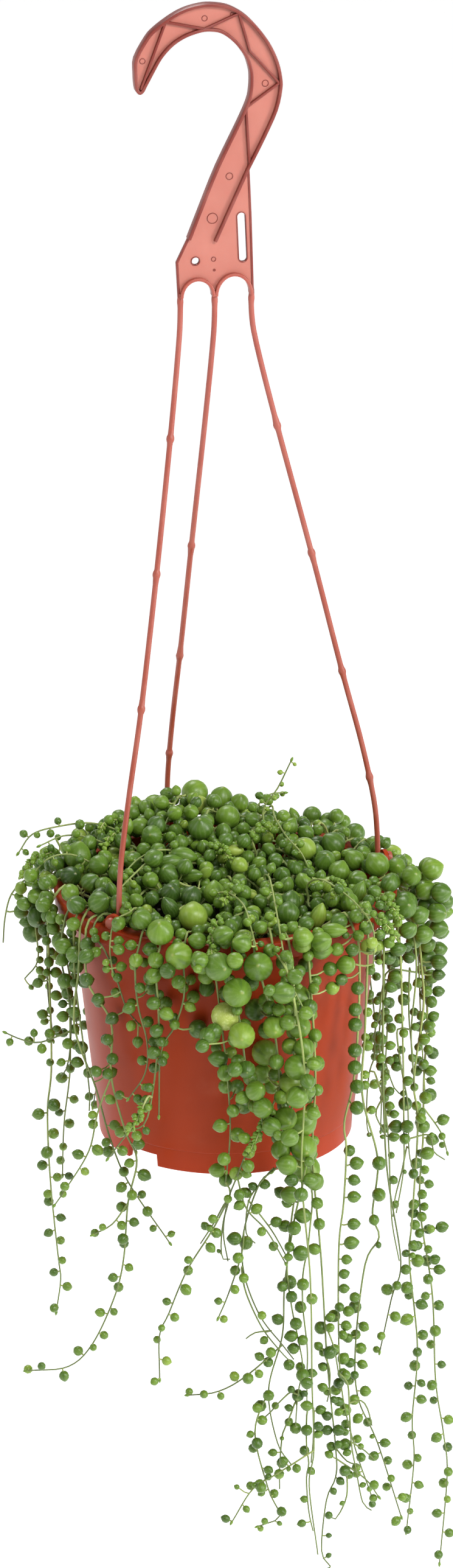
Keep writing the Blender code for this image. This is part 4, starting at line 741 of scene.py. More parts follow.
def pot_finish():
    """Satin terracotta-coloured plastic: fine grain, faint flow marks, a little dust and scuffing."""
    pot = Finish("terracotta_plastic", IOR=1.46, Specular_IOR_Level=0.14)
    height = pot.parts(pot.place)[2]
    flow = pot.noise(26.0, 3.0, (1.0, 1.0, 0.12))
    dust = pot.noise(45.0, 5.0)
    grain = pot.noise(2600.0, 2.0)
    scuff = pot.noise(34.0, 6.0, (0.4, 0.4, 9.0), 0.7)
    shade = pot.mix(flow, colour("922f11"), colour("a33a15"))
    shade = pot.mix(pot.step(dust, 0.55, 0.80) * 0.10, shade, colour("c07a62"))
    shade = pot.mix(pot.step(scuff, 0.66, 0.74) * 0.30, shade, colour("cf6a46"))
    low = pot.step(height, (RIM_TOP - 96.0) * MM, (RIM_TOP - POT_HEIGHT) * MM)
    shade = pot.mix(low * 0.3, shade, colour("c03a16"))
    rough = 0.32 + dust * 0.14 + pot.step(scuff, 0.64, 0.74) * 0.12
    return pot.done(shade, rough, grain * 0.5 + flow * 0.5, 0.06)


def moulded_finish(name, upper, lower, rough=0.36):
    """Glossy salmon plastic, redder towards the pot."""
    plastic = Finish(name, IOR=1.49, Subsurface_Weight=0.15, Subsurface_Scale=0.002)
    height = plastic.parts(plastic.place)[2]
    cloud = plastic.noise(60.0, 4.0)
    grain = plastic.noise(1400.0, 2.0)
    fall = plastic.step(height, -0.36, -0.10)
    shade = plastic.mix(fall, colour(lower), colour(upper))
    shade = plastic.mix(plastic.step(cloud, 0.35, 0.75) * 0.12, shade, colour("d99a8c"))
    return plastic.done(shade, rough + cloud * 0.16, grain * 0.5 + cloud * 0.5, 0.05)


def soil_finish():
    """Dark damp compost."""
    soil = Finish("potting_soil", Specular_IOR_Level=0.25)
    clod = soil.noise(240.0, 6.0)
    fibre = soil.noise(900.0, 3.0)
    shade = soil.ramp(
        clod * 0.6 + fibre * 0.4,
        (0.25, colour("0e0a08")),
        (0.5, colour("231a14")),
        (0.8, colour("4a3626")),
    )
    return soil.done(shade, 0.72 + fibre * 0.25, clod * 0.7 + fibre * 0.3, 0.9)


def grit_finish():
    """Pale perlite grains."""
    grit = Finish("perlite_grain", Specular_IOR_Level=0.3)
    cloud = grit.noise(700.0, 4.0)
    return grit.done(grit.mix(cloud, colour("8f8474"), colour("d9d3c4")), 0.7 + cloud * 0.25, cloud, 0.3)


def floor_finish():
    """Matt white paint with a very faint unevenness."""
    paint = Finish("studio_floor", Specular_IOR_Level=0.1)
    cloud = paint.noise(1.2, 2.0)
    paint.set("Base Color", paint.mix(cloud, (0.90, 0.90, 0.90), (0.93, 0.93, 0.93)))
    paint.set("Roughness", 0.9 + cloud * 0.1)
    paint.set("Emission Color", (1.0, 1.0, 1.0, 1.0))
    paint.set("Emission Strength", 0.74)
    return paint.material


def placed(name, data):
    """A new object of the scene with this data."""
    made = bpy.data.objects.new(name, data)
    bpy.context.scene.collection.objects.link(made)
    return made


def new_object(name, shape, *materials, matrix=None):
    """Makes an object from a bmesh in millimetres, and frees the bmesh."""
    if matrix is not None:
        bmesh.ops.transform(shape, matrix=matrix, verts=shape.verts)
    bmesh.ops.scale(shape, vec=(MM, MM, MM), verts=shape.verts)
    bmesh.ops.recalc_face_normals(shape, faces=shape.faces)
    mesh = bpy.data.meshes.new(name)
    shape.to_mesh(mesh)
    shape.free()
    for material in materials:
        mesh.materials.append(material)
    return placed(name, mesh)


def fixed_mesh(carrier, name):
    """A plain object with the mesh that the carrier's modifiers make; the carrier is removed."""
    graph = bpy.context.evaluated_depsgraph_get()
    mesh = bpy.data.meshes.new_from_object(carrier.evaluated_get(graph))
    mesh.name = name
    bpy.data.objects.remove(carrier)
    return placed(name, mesh)


def join(first, others):
    """Adds the other objects' shells to the first and removes them."""
    with bpy.context.temp_override(active_object=first, selected_editable_objects=[first, *others]):
        bpy.ops.object.join()
    return first


def combine(base, others, operation):
    """Joins the other objects to the base, or cuts them from it, and removes them."""
    for other in others:
        modifier = base.modifiers.new("combine", "BOOLEAN")
        modifier.operation = operation
        modifier.object = other
        modifier.solver = "EXACT"
    made = fixed_mesh(base, base.name)
    for other in others:
        bpy.data.objects.remove(other)
    return made


def seat(piece, node):
    """The finished piece rides on the root and stands for the CAD node."""
    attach(piece, "root")
    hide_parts(node)


def spot_at(across, back, drop=0.0):
    """The point right of and behind the pot's axis, at a drop below the rim."""
    return Vector((POT_AXIS + across, back, RIM_TOP - drop))


def around(azimuth, radius, drop=0.0):
    """The point at an azimuth in degrees and a radius from the pot's axis, at a drop below the rim."""
    turn = math.radians(azimuth)
    return spot_at(radius * math.sin(turn), -radius * math.cos(turn), drop)


def facing(azimuth, radius, drop=0.0):
    """A frame at that point: X along the rim, Y outwards from the axis, Z up."""
    turn = math.radians(azimuth)
    out = Vector((math.sin(turn), -math.cos(turn), 0.0))
    along = out.cross(Vector((0.0, 0.0, 1.0)))
    frame_axes = Matrix((along, out, (0.0, 0.0, 1.0))).transposed().to_4x4()
    return Matrix.Translation(around(azimuth, radius, drop)) @ frame_axes


def wall_radius(drop):
    """The outer radius of the pot's wall at a drop."""
    return NECK_RADIUS - (NECK_RADIUS - FOOT_RADIUS) * drop / POT_HEIGHT


def turned(profile, sides):
    """A profile of (radius, drop) from axis to axis, turned about the Z axis."""
    shape = bmesh.new()
    rings = []
    for radius, drop in profile:
        ring = []
        for step in range(sides if radius else 1):
            turn = 2 * math.pi * step / sides
            ring.append(shape.verts.new((radius * math.cos(turn), radius * math.sin(turn), -drop)))
        rings.append(ring)
    for first, second in zip(rings, rings[1:]):
        for step in range(sides):
            corners = []
            for ring, place in ((first, step), (first, step + 1), (second, step + 1), (second, step)):
                corners.append(ring[place % len(ring)])
            shape.faces.new(list(dict.fromkeys(corners)))
    return shape


def rounded(profile, corners, steps=4):
    """The profile with the corners at some places rounded: place to radius."""
    line = []
    for place, point in enumerate(profile):
        if place not in corners:
            line.append(point)
            continue
        here = Vector(point)
        before = (Vector(profile[place - 1]) - here).normalized()
        after = (Vector(profile[place + 1]) - here).normalized()
        start = here + before * corners[place]
        end = here + after * corners[place]
        for index in range(steps + 1):
            share = index / steps
            line.append(tuple(start.lerp(here, share).lerp(here.lerp(end, share), share)))
    return line


def prism(outline, depth):
    """An outline in the XZ plane, extruded by depth, half to each side of Y = 0."""
    shape = bmesh.new()
    front = shape.faces.new([shape.verts.new((u, -depth / 2, v)) for u, v in outline])
    pushed = bmesh.ops.extrude_face_region(shape, geom=[front], use_keep_orig=True)
    moved = [item for item in pushed["geom"] if isinstance(item, bmesh.types.BMVert)]
    bmesh.ops.translate(shape, verts=moved, vec=(0.0, depth, 0.0))
    return shape


def turned_way(axes, angle):
    """The direction at an angle from the first of two axes towards the second."""
    side, other = axes
    return side * math.cos(angle) + other * math.sin(angle)


def cross_axes(route):
    """Two axes across the route at each point, which turn as little as they can from point to point."""
    side = (route[1] - route[0]).orthogonal().normalized()
    axes = []
    for place in range(len(route)):
        before = route[max(place - 1, 0)]
        after = route[min(place + 1, len(route) - 1)]
        along = (after - before).normalized()
        side = (side - along * side.dot(along)).normalized()
        axes.append((side, along.cross(side)))
    return axes


def tube(route, radii, sides):
    """A bar along a route, with its own radius at each point and flat ends."""
    shape = bmesh.new()
    rings = []
    for point, radius, axes in zip(route, radii, cross_axes(route)):
        ring = []
        for step in range(sides):
            offset = turned_way(axes, 2 * math.pi * step / sides)
            ring.append(shape.verts.new(point + offset * radius))
        rings.append(ring)
    for lower, upper in zip(rings, rings[1:]):
        for step in range(sides):
            after = (step + 1) % sides
            shape.faces.new((lower[step], lower[after], upper[after], upper[step]))
    shape.faces.new(rings[0])
    shape.faces.new(rings[-1])
    return shape


def rod(start, end, radius, sides):
    """A straight bar with flat ends."""
    return tube([Vector(start), Vector(end)], [radius, radius], sides)


def curved(a, b, c, d, count):
    """Points that lead from b to c on a smooth curve through a, b, c and d, without b itself."""
    line = []
    for index in range(1, count + 1):
        t = index / count
        bend = 2 * b + t * (c - a) + t * t * (2 * a - 5 * b + 4 * c - d)
        line.append((bend + t * t * t * (3 * b - a - 3 * c + d)) / 2)
    return line


def smooth_route(points, step=3.0):
    """A smooth curve through the points, as points about a step apart."""
    ends = [2 * points[0] - points[1], *points, 2 * points[-1] - points[-2]]
    route = [points[0]]
    for a, b, c, d in zip(ends, ends[1:], ends[2:], ends[3:]):
        route += curved(a, b, c, d, max(1, round((c - b).length / step)))
    return route


def shade_smooth(piece, sharp=35.0):
    """Smooth shading, with edges over this angle kept sharp."""
    piece.data.shade_smooth()
    piece.data.set_sharp_from_angle(angle=math.radians(sharp))


def make_pot():
    """The pot: turned-over rim with three lugs, tapered wall, notched foot ring, drained floor."""
    skirt = RIM_RADIUS - 0.5
    foot_inner = FOOT_RADIUS - FOOT_WALL
    inner = wall_radius(FLOOR_DROP) - WALL - 0.4
    profile = (
        (0.0, FLOOR_DROP + FLOOR_THICK),
        (foot_inner - 0.8, FLOOR_DROP + FLOOR_THICK),
        (foot_inner, POT_HEIGHT),
        (FOOT_RADIUS, POT_HEIGHT),
        (wall_radius(FLOOR_DROP) - LEDGE, FLOOR_DROP),
        (wall_radius(FLOOR_DROP), FLOOR_DROP - 0.5),
        (wall_radius(RIM_THICK), RIM_THICK),
        (skirt - 1.4, RIM_THICK),
        (skirt - 1.6, SKIRT_DROP),
        (skirt, SKIRT_DROP),
        (RIM_RADIUS, 1.6),
        (RIM_RADIUS, 0.0),
        (RIM_INNER, 0.0),
        (inner, FLOOR_DROP),
        (0.0, FLOOR_DROP),
    )
    corners = {2: 0.6, 3: 0.6, 4: 0.15, 5: 0.3, 6: 0.5, 9: 0.4, 11: 1.3, 12: 0.5, 13: 2.0}
    finish = pot_finish()
    shape = turned(rounded(profile, corners), POT_SIDES)
    pot = new_object("hanging_pot_body", shape, finish, matrix=Matrix.Translation(spot_at(0.0, 0.0)))
    half = LUG_WIDTH / 2
    lug = [(-half, -RIM_THICK / 2), (half, -RIM_THICK / 2), *arch(0.0, LUG_HEIGHT - half, half, half)]
    lugs = []
    for azimuth in ARM_AZIMUTHS:
        plate = prism(lug, LUG_THICK)
        lugs.append(new_object("lug", plate, finish, matrix=facing(azimuth, LUG_RADIUS)))
    pot = combine(pot, lugs, "UNION")
    half = NOTCH_WIDTH / 2
    top = NOTCH_HEIGHT - POT_HEIGHT
    notch = ((-half - 0.6, top - 12.0), (half + 0.6, top - 12.0), (half, top), (-half, top))
    cutters = []
    for azimuth in ARM_AZIMUTHS:
        ends = [around(azimuth, LUG_RADIUS + side * 4.0, -PEG_RISE) for side in (-1, 1)]
        cutters.append(new_object("lug_hole", rod(*ends, PEG_RADIUS + PEG_GAP, 24), finish))
        at_foot = facing(azimuth, FOOT_RADIUS - 1.5)
        cutters.append(new_object("notch", prism(notch, 12.0), finish, matrix=at_foot))
    for index in range(DRAIN_COUNT):
        azimuth = 360.0 * (index + 0.5) / DRAIN_COUNT
        ends = [around(azimuth, DRAIN_CIRCLE, FLOOR_DROP + side * 6.0) for side in (-1, 1)]
        cutters.append(new_object("drain", rod(*ends, DRAIN_RADIUS, 32), finish))
    pot = combine(pot, cutters, "DIFFERENCE")
    shade_smooth(pot)
    seat(pot, "hanging_pot")


def smooth_flat(points, steps):
    """A smooth line through flat points, with a few steps between each two."""
    ends = [Vector(point) for point in points]
    ends = [2 * ends[0] - ends[1], *ends, 2 * ends[-1] - ends[-2]]
    line = [points[0]]
    for a, b, c, d in zip(ends, ends[1:], ends[2:], ends[3:]):
        line += [tuple(point) for point in curved(a, b, c, d, steps)]
    return line


def arch(middle, foot, half_width, height):
    """The line of an arch from right to left."""
    turns = [math.pi * step / ARCH_STEPS for step in range(ARCH_STEPS + 1)]
    return [(middle + half_width * math.cos(turn), foot + height * math.sin(turn)) for turn in turns]


def hook_edges():
    """The hook plate's edges clockwise, each as a line and whether it has a flange."""
    hook = smooth_flat(
        (
            (-10.6, -89.6), (-5.3, -76.2), (1.9, -58.6), (11.1, -39.9), (15.1, -30.9), (16.2, -25.7),
            (16.4, -20.4), (16.0, -17.1), (14.6, -12.4), (12.4, -8.8), (9.8, -5.6), (6.5, -2.6),
            (3.3, -0.7), (0.0, 0.0), (-3.3, 0.1), (-6.9, -0.6), (-11.1, -2.0), (-15.0, -4.1),
            (-18.3, -6.8), (-21.6, -10.6), (-24.2, -15.0), (-28.0, -22.0), (-29.4, -24.6),
            (-31.0, -25.6), (-32.4, -24.8), (-33.2, -22.5), (-33.6, -16.5), (-33.2, -10.0),
            (-28.3, -1.3), (-24.8, 2.4), (-20.2, 5.8), (-15.6, 8.6), (-11.1, 10.5), (-6.5, 11.6),
            (-1.9, 12.1), (3.9, 11.5), (8.5, 10.1), (13.7, 7.0), (17.9, 3.1), (22.3, -2.3),
            (25.8, -7.8), (28.7, -14.5), (30.2, -21.1), (30.3, -26.4), (28.3, -35.5), (23.0, -47.2),
            (16.4, -60.1),
        ),
        3,
    )
    right_side = [(16.4, -60.1), (17.3, -79.7), (18.3, -112.0), (18.6, PLATE_FOOT)]
    right_arch = arch(9.5, PLATE_FOOT, 7.0, 8.4)
    left_arch = arch(-6.3, PLATE_FOOT, 6.3, 7.1)
    left_side = [(-14.8, PLATE_FOOT), (-15.6, -99.9), (-10.6, -89.6)]
    return (
        (hook, True),
        (right_side, False),
        (right_arch, True),
        (left_arch, True),
        (left_side, False),
    )


def moved_in(line, distance, closed=False):
    """A line moved to its right-hand side, which is the inside of a clockwise outline."""
    points = [Vector(point) for point in line]
    result = []
    for place, point in enumerate(points):
        before = points[place - 1] if closed or place else point
        after = points[(place + 1) % len(points)] if closed or place + 1 < len(points) else point
        normals = []
        for a, b in ((before, point), (point, after)):
            if (b - a).length > 0.0:
                along = (b - a).normalized()
                normals.append(Vector((along.y, -along.x)))
        middle = sum(normals, Vector((0.0, 0.0))).normalized()
        reach = distance / max(middle.dot(normals[0]), 0.5)
        result.append(tuple(point + middle * reach))
    return result


def rail(line, width, depth, inset, soft=0.35, closed=False):
    """A bar with rounded edges along a flat line: width in its plane from inset on, depth across it."""
    section = []
    for across, through in ((0.0, -0.5), (1.0, -0.5), (1.0, 0.5), (0.0, 0.5)):
        section.append((inset + width * across, depth * through))
    ring_line = []
    for place, point in enumerate(section):
        here = Vector(point)
        before = (Vector(section[place - 1]) - here).normalized() * soft
        after = (Vector(section[(place + 1) % 4]) - here).normalized() * soft
        ring_line += [here + before, here + (before + after) * 0.3, here + after]
    shape = bmesh.new()
    rings = []
    for across, through in ring_line:
        side = moved_in(line, across, closed)
        rings.append([shape.verts.new((u, through, v)) for u, v in side])
    for first, second in zip(rings, [*rings[1:], rings[0]]):
        for place in range(len(line) - (not closed)):
            after = (place + 1) % len(line)
            shape.faces.new((first[place], first[after], second[after], second[place]))
    if not closed:
        shape.faces.new([ring[0] for ring in rings])
        shape.faces.new([ring[-1] for ring in rings])
    return shape


def long_ring(ends, radius, steps=14):
    """A closed clockwise line round two points: a circle if they are the same point."""
    upper, lower = (Vector(end) for end in ends)
    tilt = math.atan2(upper.y - lower.y, upper.x - lower.x) - math.pi / 2 if upper != lower else 0.0
    line = []
    for middle, first in ((upper, math.pi), (lower, 0.0)):
        for step in range(steps):
            turn = first - math.pi * (step + 0.5) / steps + tilt
            line.append((middle.x + radius * math.cos(turn), middle.y + radius * math.sin(turn)))
    return line


def make_plate(yaw, thin, thick, bright):
    """The hook plate: a thin web with ringed openings and mould marks, edge flanges and a zigzag rib."""
    edges = hook_edges()
    outline = [point for line, flanged in edges for point in line]
    outline = [point for place, point in enumerate(outline) if point != outline[place - 1]]
    outline = moved_in(outline, FLANGE_WIDTH / 2, closed=True)
    web = new_object("hanger_plate", prism(outline, WEB_THICK), thin)
    hole = long_ring((SMALL_HOLE, SMALL_HOLE), HOLE_RADIUS)
    slot = long_ring(SLOT_ENDS, SLOT_RADIUS)
    cutters = [new_object("opening", prism(line, 12.0), thin) for line in (hole, slot)]
    web = combine(web, cutters, "DIFFERENCE")
    # Lips, marks, plain edges, the hook's flange and the zigzag rib take the rib colour, which is painted
    # shade.
    extras = []
    for line in (hole, slot):
        extras.append(new_object("lip", rail(line, LIP, WEB_THICK + 0.7, -LIP, 0.15, closed=True), thick))
    for right, up, radius in MOULD_MARKS:
        ring = long_ring(((right, up), (right, up)), radius, 12)
        extras.append(new_object("mark", rail(ring, 0.3, WEB_THICK + 0.5, 0.0, 0.1, closed=True), thick))
    # The mark at DIMPLE is a disc a little out of the web in the rib colour: painted shade for its hollow.
    right, up, radius = DIMPLE
    dimple_painted_shade = rod((right, -WEB_THICK / 2 - 0.15, up), (right, 0.0, up), radius, 16)
    extras.append(new_object("dimple_painted_shade", dimple_painted_shade, thick))
    for place, (line, flanged) in enumerate(edges):
        if not flanged:
            extras.append(new_object("edge", rail(line, 1.0, WEB_THICK + 0.6, 0.0, 0.2), thick))
            continue
        line = [*line, RIB_END] if place == 0 else line
        tint = thick if place == 0 else bright
        extras.append(new_object("flange", rail(line, FLANGE_WIDTH, PLATE_DEPTH, 0.0), tint))
    zigzag = new_object("zigzag", rail(ZIGZAG, RIB_WIDTH, RIB_DEPTH, -RIB_WIDTH / 2), thick)
    extras.append(zigzag)
    for piece in (web, *extras):
        piece.data.transform(yaw)
    return web, extras


def arm_route(azimuth, root, bulge):
    """The points of one arm, from inside the plate's foot to just above the rim."""
    foot = Matrix.Rotation(math.radians(PLATE_YAW), 3, "Z") @ Vector((root, 0.0, 0.0))
    end = around(azimuth, ARM_END_RADIUS)
    line = []
    for height, share in ARM_SWEEP:
        point = foot.lerp(end, share + bulge * math.sin(math.pi * share))
        line.append(Vector((point.x, point.y, height)))
    return line


def arm_shape(azimuth, root, bulge, nodules):
    """One arm as a round bar that swells at each nodule."""
    route = smooth_route(arm_route(azimuth, root, bulge), 0.7)
    radii = []
    for point in route:
        near, height = min((abs(point.z - height), height) for height in nodules)
        swell = max(0.0, 1.0 - (near / NODULE_HALF) ** 2)
        if height == TOP_NODULE:
            swell *= TOP_SWELL
        radii.append(ARM_RADIUS + (NODULE_RADIUS - ARM_RADIUS) * swell)
    kept = [place for place in range(len(route)) if radii[place] > ARM_RADIUS or place % 5 == 0]
    kept = sorted({*kept, len(route) - 1})
    return tube([route[place] for place in kept], [radii[place] for place in kept], 16)


def make_hanger():
    """The hanger: hook plate, three arms with nodules, and a headed peg at each arm's end."""
    # The web's paler colour is painted light through thin plastic; the ribs' dark colour is painted shade.
    thin = moulded_finish("salmon_web", "b26b5d", "a66050", 0.32)
    thick = moulded_finish("salmon_rib", "74261b", "78271a", 0.34)
    arms = moulded_finish("salmon_arm", "9c4a3c", "96432f", 0.34)
    yaw = Matrix.Rotation(math.radians(PLATE_YAW), 4, "Z")
    hanger, extras = make_plate(yaw, thin, thick, arms)
    for azimuth, root, bulge, nodules in zip(ARM_AZIMUTHS, ARM_ROOTS, ARM_BULGES, ARM_NODULES):
        extras.append(new_object("arm", arm_shape(azimuth, root, bulge, (TOP_NODULE, *nodules)), arms))
        peg = [around(azimuth, radius, -PEG_RISE) for radius in (ARM_END_RADIUS, *PEG_HEAD)]
        extras.append(new_object("peg", tube(peg, PEG_RADII, 24), arms))
    join(hanger, extras)
    shade_smooth(hanger, 40.0)
    hanger.name = "moulded_hanger"
    seat(hanger, "hanger")


class Grower(Tree):
    """A Geometry Nodes group in the making, with one geometry going in and one coming out."""

    def __init__(self, name):
        self.group = bpy.data.node_groups.new(name, "GeometryNodeTree")
        super().__init__(self.group)
        for way in ("INPUT", "OUTPUT"):
            self.group.interface.new_socket("Geometry", in_out=way, socket_type="NodeSocketGeometry")
        self.carrier = self.node("NodeGroupInput")
        self.seed = self.input("Seed", "Int", SEED)

    def input(self, name, kind, value):
        """A named input of the group, with its value to begin with."""
        socket = self.group.interface.new_socket(name, in_out="INPUT", socket_type="NodeSocket" + kind)
        socket.default_value = value
        return Value(self, self.carrier.socket.node.outputs[name])

    def random(self, low, high):
        """A random number for each point."""
        ends = {2: low, 3: high, "Seed": self.seed}
        return self.node("FunctionNodeRandomValue", ends, 1, data_type="FLOAT")

    def random_vector(self, low, high):
        """A random vector for each point, with its parts between two numbers."""
        ends = {0: (low,) * 3, 1: (high,) * 3, "Seed": self.seed}
        return self.node("FunctionNodeRandomValue", ends, data_type="FLOAT_VECTOR")

    def stored(self, name, data_type="FLOAT"):
        """An attribute of the carrier."""
        kind = "GeometryNodeInputNamedAttribute"
        return self.node(kind, {"Name": name}, "Attribute", data_type=data_type)

    def coated(self, geometry, finish):
        """The geometry in a material."""
        return self.node("GeometryNodeSetMaterial", {"Geometry": geometry, "Material": finish})

    def joined(self, geometries):
        """Some geometries as one."""
        crowd = self.node("GeometryNodeJoinGeometry")
        for geometry in geometries:
            self.fill(crowd.socket.node.inputs[0], geometry)
        return crowd

    def finished(self, result):
        """The group that gives this result."""
        self.fill(self.group.nodes.new("NodeGroupOutput").inputs[0], result)
        return self.group


def crumb_tree(name, crumb_finish):
    """Geometry Nodes that strew rough crumbs over the upward faces of a surface."""
    tree = Grower(name)
    count = tree.input("Crumbs per Square Metre", "Float", 60000.0)
    size = tree.input("Crumb Size", "Float", 0.9 * MM)
    height = tree.parts(tree.node("GeometryNodeInputNormal"))[2]
    upward = tree.node(
        "FunctionNodeCompare", {0: height, 1: 0.5}, operation="GREATER_THAN", data_type="FLOAT",
    )
    points = tree.node("GeometryNodeDistributePointsOnFaces", {
        "Mesh": tree.carrier, "Selection": upward, "Density": count, "Seed": tree.seed,
    })
    crumb = tree.node("GeometryNodeMeshIcoSphere", {"Radius": 1.0, "Subdivisions": 1})
    jitter = tree.random_vector(-0.35, 0.35)
    crumb = tree.node("GeometryNodeSetPosition", {"Geometry": crumb, "Offset": jitter})
    strewn = tree.node("GeometryNodeInstanceOnPoints", {
        "Points": points,
        "Instance": crumb,
        "Rotation": tree.random_vector(0.0, 6.2),
        "Scale": tree.random(0.4, 1.5) * size,
    })
    strewn = tree.node("GeometryNodeRealizeInstances", {"Geometry": strewn})
    return tree.finished(tree.coated(strewn, crumb_finish))


def grown_by(group, carrier, **values):
    """Gives the carrier a modifier with this group and sets the group's inputs by identifier."""
    modifier = carrier.modifiers.new(group.name, "NODES")
    modifier.node_group = group
    for item in group.interface.items_tree:
        key = item.name.lower().replace(" ", "_")
        if item.in_out == "INPUT" and key in values:
            modifier[item.identifier] = values[key]


def make_soil():
    """The soil: a bumpy closed plug, strewn with crumbs and a few pale grains."""
    finish = soil_finish()
    floor = FLOOR_DROP - 0.3
    top = wall_radius(SOIL_DROP) - WALL - SOIL_GAP
    foot = wall_radius(floor) - WALL - 0.4 - SOIL_GAP
    profile = [(0.0, floor), (foot, floor), (top, SOIL_DROP + 2.0), (top - 1.0, SOIL_DROP + 0.6)]
    rings = 26
    profile += [((top - 2.0) * step / rings, SOIL_DROP) for step in range(rings, -1, -1)]
    shape = turned(profile, 96)
    for vert in shape.verts:
        if vert.co.z > -SOIL_DROP - 1.0:
            rough = noise.fractal(vert.co * 0.16, 1.0, 2.0, 4) + 0.5 * noise.noise(vert.co * 0.55)
            vert.co.z += min(0.0, rough - 0.75)
    soil = new_object("soil_plug", shape, finish, matrix=Matrix.Translation(spot_at(0.0, 0.0)))
    soil.data.shade_smooth()
    layers = []
    for name, tint, density, size in (
        ("crumbs", finish, 90000.0, 0.9),
        ("perlite", grit_finish(), 7000.0, 1.0),
    ):
        carrier = placed(name, soil.data.copy())
        values = {"crumbs_per_square_metre": density, "crumb_size": size * MM, "seed": SEED + len(layers)}
        grown_by(crumb_tree(name, tint), carrier, **values)
        layers.append(fixed_mesh(carrier, name))
    join(soil, layers)
    seat(soil, "soil")


class Growth:
    """What one leafy piece is made of: stems as routes with radii and a tone, and leaves."""

    def __init__(self, name):
        self.name = name
        self.stems = []
        self.leaves = []


Leaf = namedtuple("Leaf", "kind middle way size tone")


def cell_of(point):
    """The cell that a point lies in."""
    return tuple(math.floor(value / CELL) for value in point)


def near(cells, point):
    """What lies in the point's cell and those round it."""
    x, y, z = cell_of(point)
    for right, back, up in itertools.product((-1, 0, 1), repeat=3):
        yield from cells.get((x + right, y + back, z + up), ())


class Room:
    """The stems and leaves that are placed, as balls kept in cells, so that near ones are found fast."""

    def __init__(self):
        self.cells = {}
        self.stem_cells = {}
        self.shown = {}

    def add(self, point, radius):
        """Adds a ball."""
        self.cells.setdefault(cell_of(point), []).append((point, radius))

    def add_stem(self, growth, point, radius):
        """Adds a point of a stem, which is a ball too."""
        self.add(point, radius)
        self.stem_cells.setdefault(cell_of(point), []).append((growth, point))

    def is_clear(self, point, radius, gap=-0.25):
        """Whether a ball is clear of pot and soil, inside the box, and has its gap to every ball."""
        if not clear_of_pot(point, radius + 0.15):
            return False
        for value, low, high in zip(point, *CAD_BOX):
            if not low / MM + radius * 1.2 < value < high / MM - radius * 1.2:
                return False
        for place, size in near(self.cells, point):
            if (place - point).length < radius + size + gap:
                return False
        return True

    def keep_shown(self, spot, size):
        """Keeps a ball from being hidden by later ones."""
        across, up = seen_at(spot)
        cell = (round(across / SHOWN_CELL), round(up / SHOWN_CELL))
        self.shown.setdefault(cell, []).append((across, up, spot.y, size))

    def would_hide(self, spot, size):
        """Whether a ball would cover much of one that is kept in view."""
        across, up = seen_at(spot)
        for right, above in itertools.product((-1, 0, 1), repeat=2):
            cell = (round(across / SHOWN_CELL) + right, round(up / SHOWN_CELL) + above)
            for there, height, back, radius in self.shown.get(cell, ()):
                reach = KEPT_SHARE * radius + HIDING_SHARE * size
                if spot.y < back and math.hypot(across - there, up - height) < reach:
                    return True
        return False

    def nearest_stem(self, point):
        """The nearest stem point with its growth, or None."""
        found = list(near(self.stem_cells, point))
        return min(found, key=lambda item: (item[1] - point).length) if found else None

    def drop_in(self, mark, size, first, last, gap):
        """Where a ball comes to rest on the camera's line of sight through a mark, or None."""
        way = sight(mark)
        place = None
        step = first
        while step < last:
            spot = mark + way * step
            if self.is_clear(spot, size, gap):
                place = spot
            elif place:
                break
            step += 0.5
        return place


def sight(mark):
    """The direction in which the camera sees a mark."""
    return (mark - Vector(CAMERA_PLACE) / MM).normalized()


def seen_at(spot):
    """Where the camera sees a spot, in millimetres across and up."""
    pitch = math.radians(CAMERA_PITCH)
    return spot.x - POT_AXIS, spot.y * math.sin(pitch) + spot.z * math.cos(pitch)


def clear_of_pot(point, reach):
    """Whether nothing of the pot or soil lies within reach of a point."""
    radius = math.hypot(point.x - POT_AXIS, point.y)
    drop = RIM_TOP - point.z
    beside = max(RIM_INNER - 0.6 - radius, radius - RIM_RADIUS, 0.0)
    above = max(-drop, drop - SKIRT_DROP, 0.0)
    if math.hypot(beside, above) < reach:
        return False
    if drop > POT_HEIGHT:
        return radius > FOOT_RADIUS or drop > POT_HEIGHT + reach
    if radius > RIM_INNER:
        return drop < 0.0 or radius > wall_radius(drop) + reach
    return drop < SOIL_DROP - reach


def fill_room_with_holder(room):
    """Adds the arms, lugs and pegs to the room."""
    for azimuth, root, bulge in zip(ARM_AZIMUTHS, ARM_ROOTS, ARM_BULGES):
        for point in smooth_route(arm_route(azimuth, root, bulge), 2.0):
            room.add(point, ARM_RADIUS + 0.3)
        for rise in (1.5, 4.0):
            room.add(around(azimuth, LUG_RADIUS, -rise), LUG_WIDTH / 2)


def over_rim(azimuth, root_radius, rise):
    """The points of a strand from its root in the soil up over the rim."""
    line = (
        (root_radius, SOIL_DROP + ROOT_SUNK),
        (root_radius, SOIL_DROP - 1.0),
        ((root_radius + 67.6) / 2 - 1.2, 2.0),
        (67.6, -2.1),
        (73.0, -rise),
        (77.4, -1.6),
        (79.2, 2.0),
    )
    return [around(azimuth, radius, drop) for radius, drop in line]


def hanging_points(strand, places, shift=0.0):
    """The points of a strand's hanging part, which sways a little in depth, or of a branch further out."""
    depth = strand.depth + math.copysign(shift, strand.depth)
    points = []
    for across, drop in places:
        sway = 2.0 * math.sin(drop / 23.0 + strand.azimuth)
        points.append(spot_at(across, depth + sway, drop))
    return points


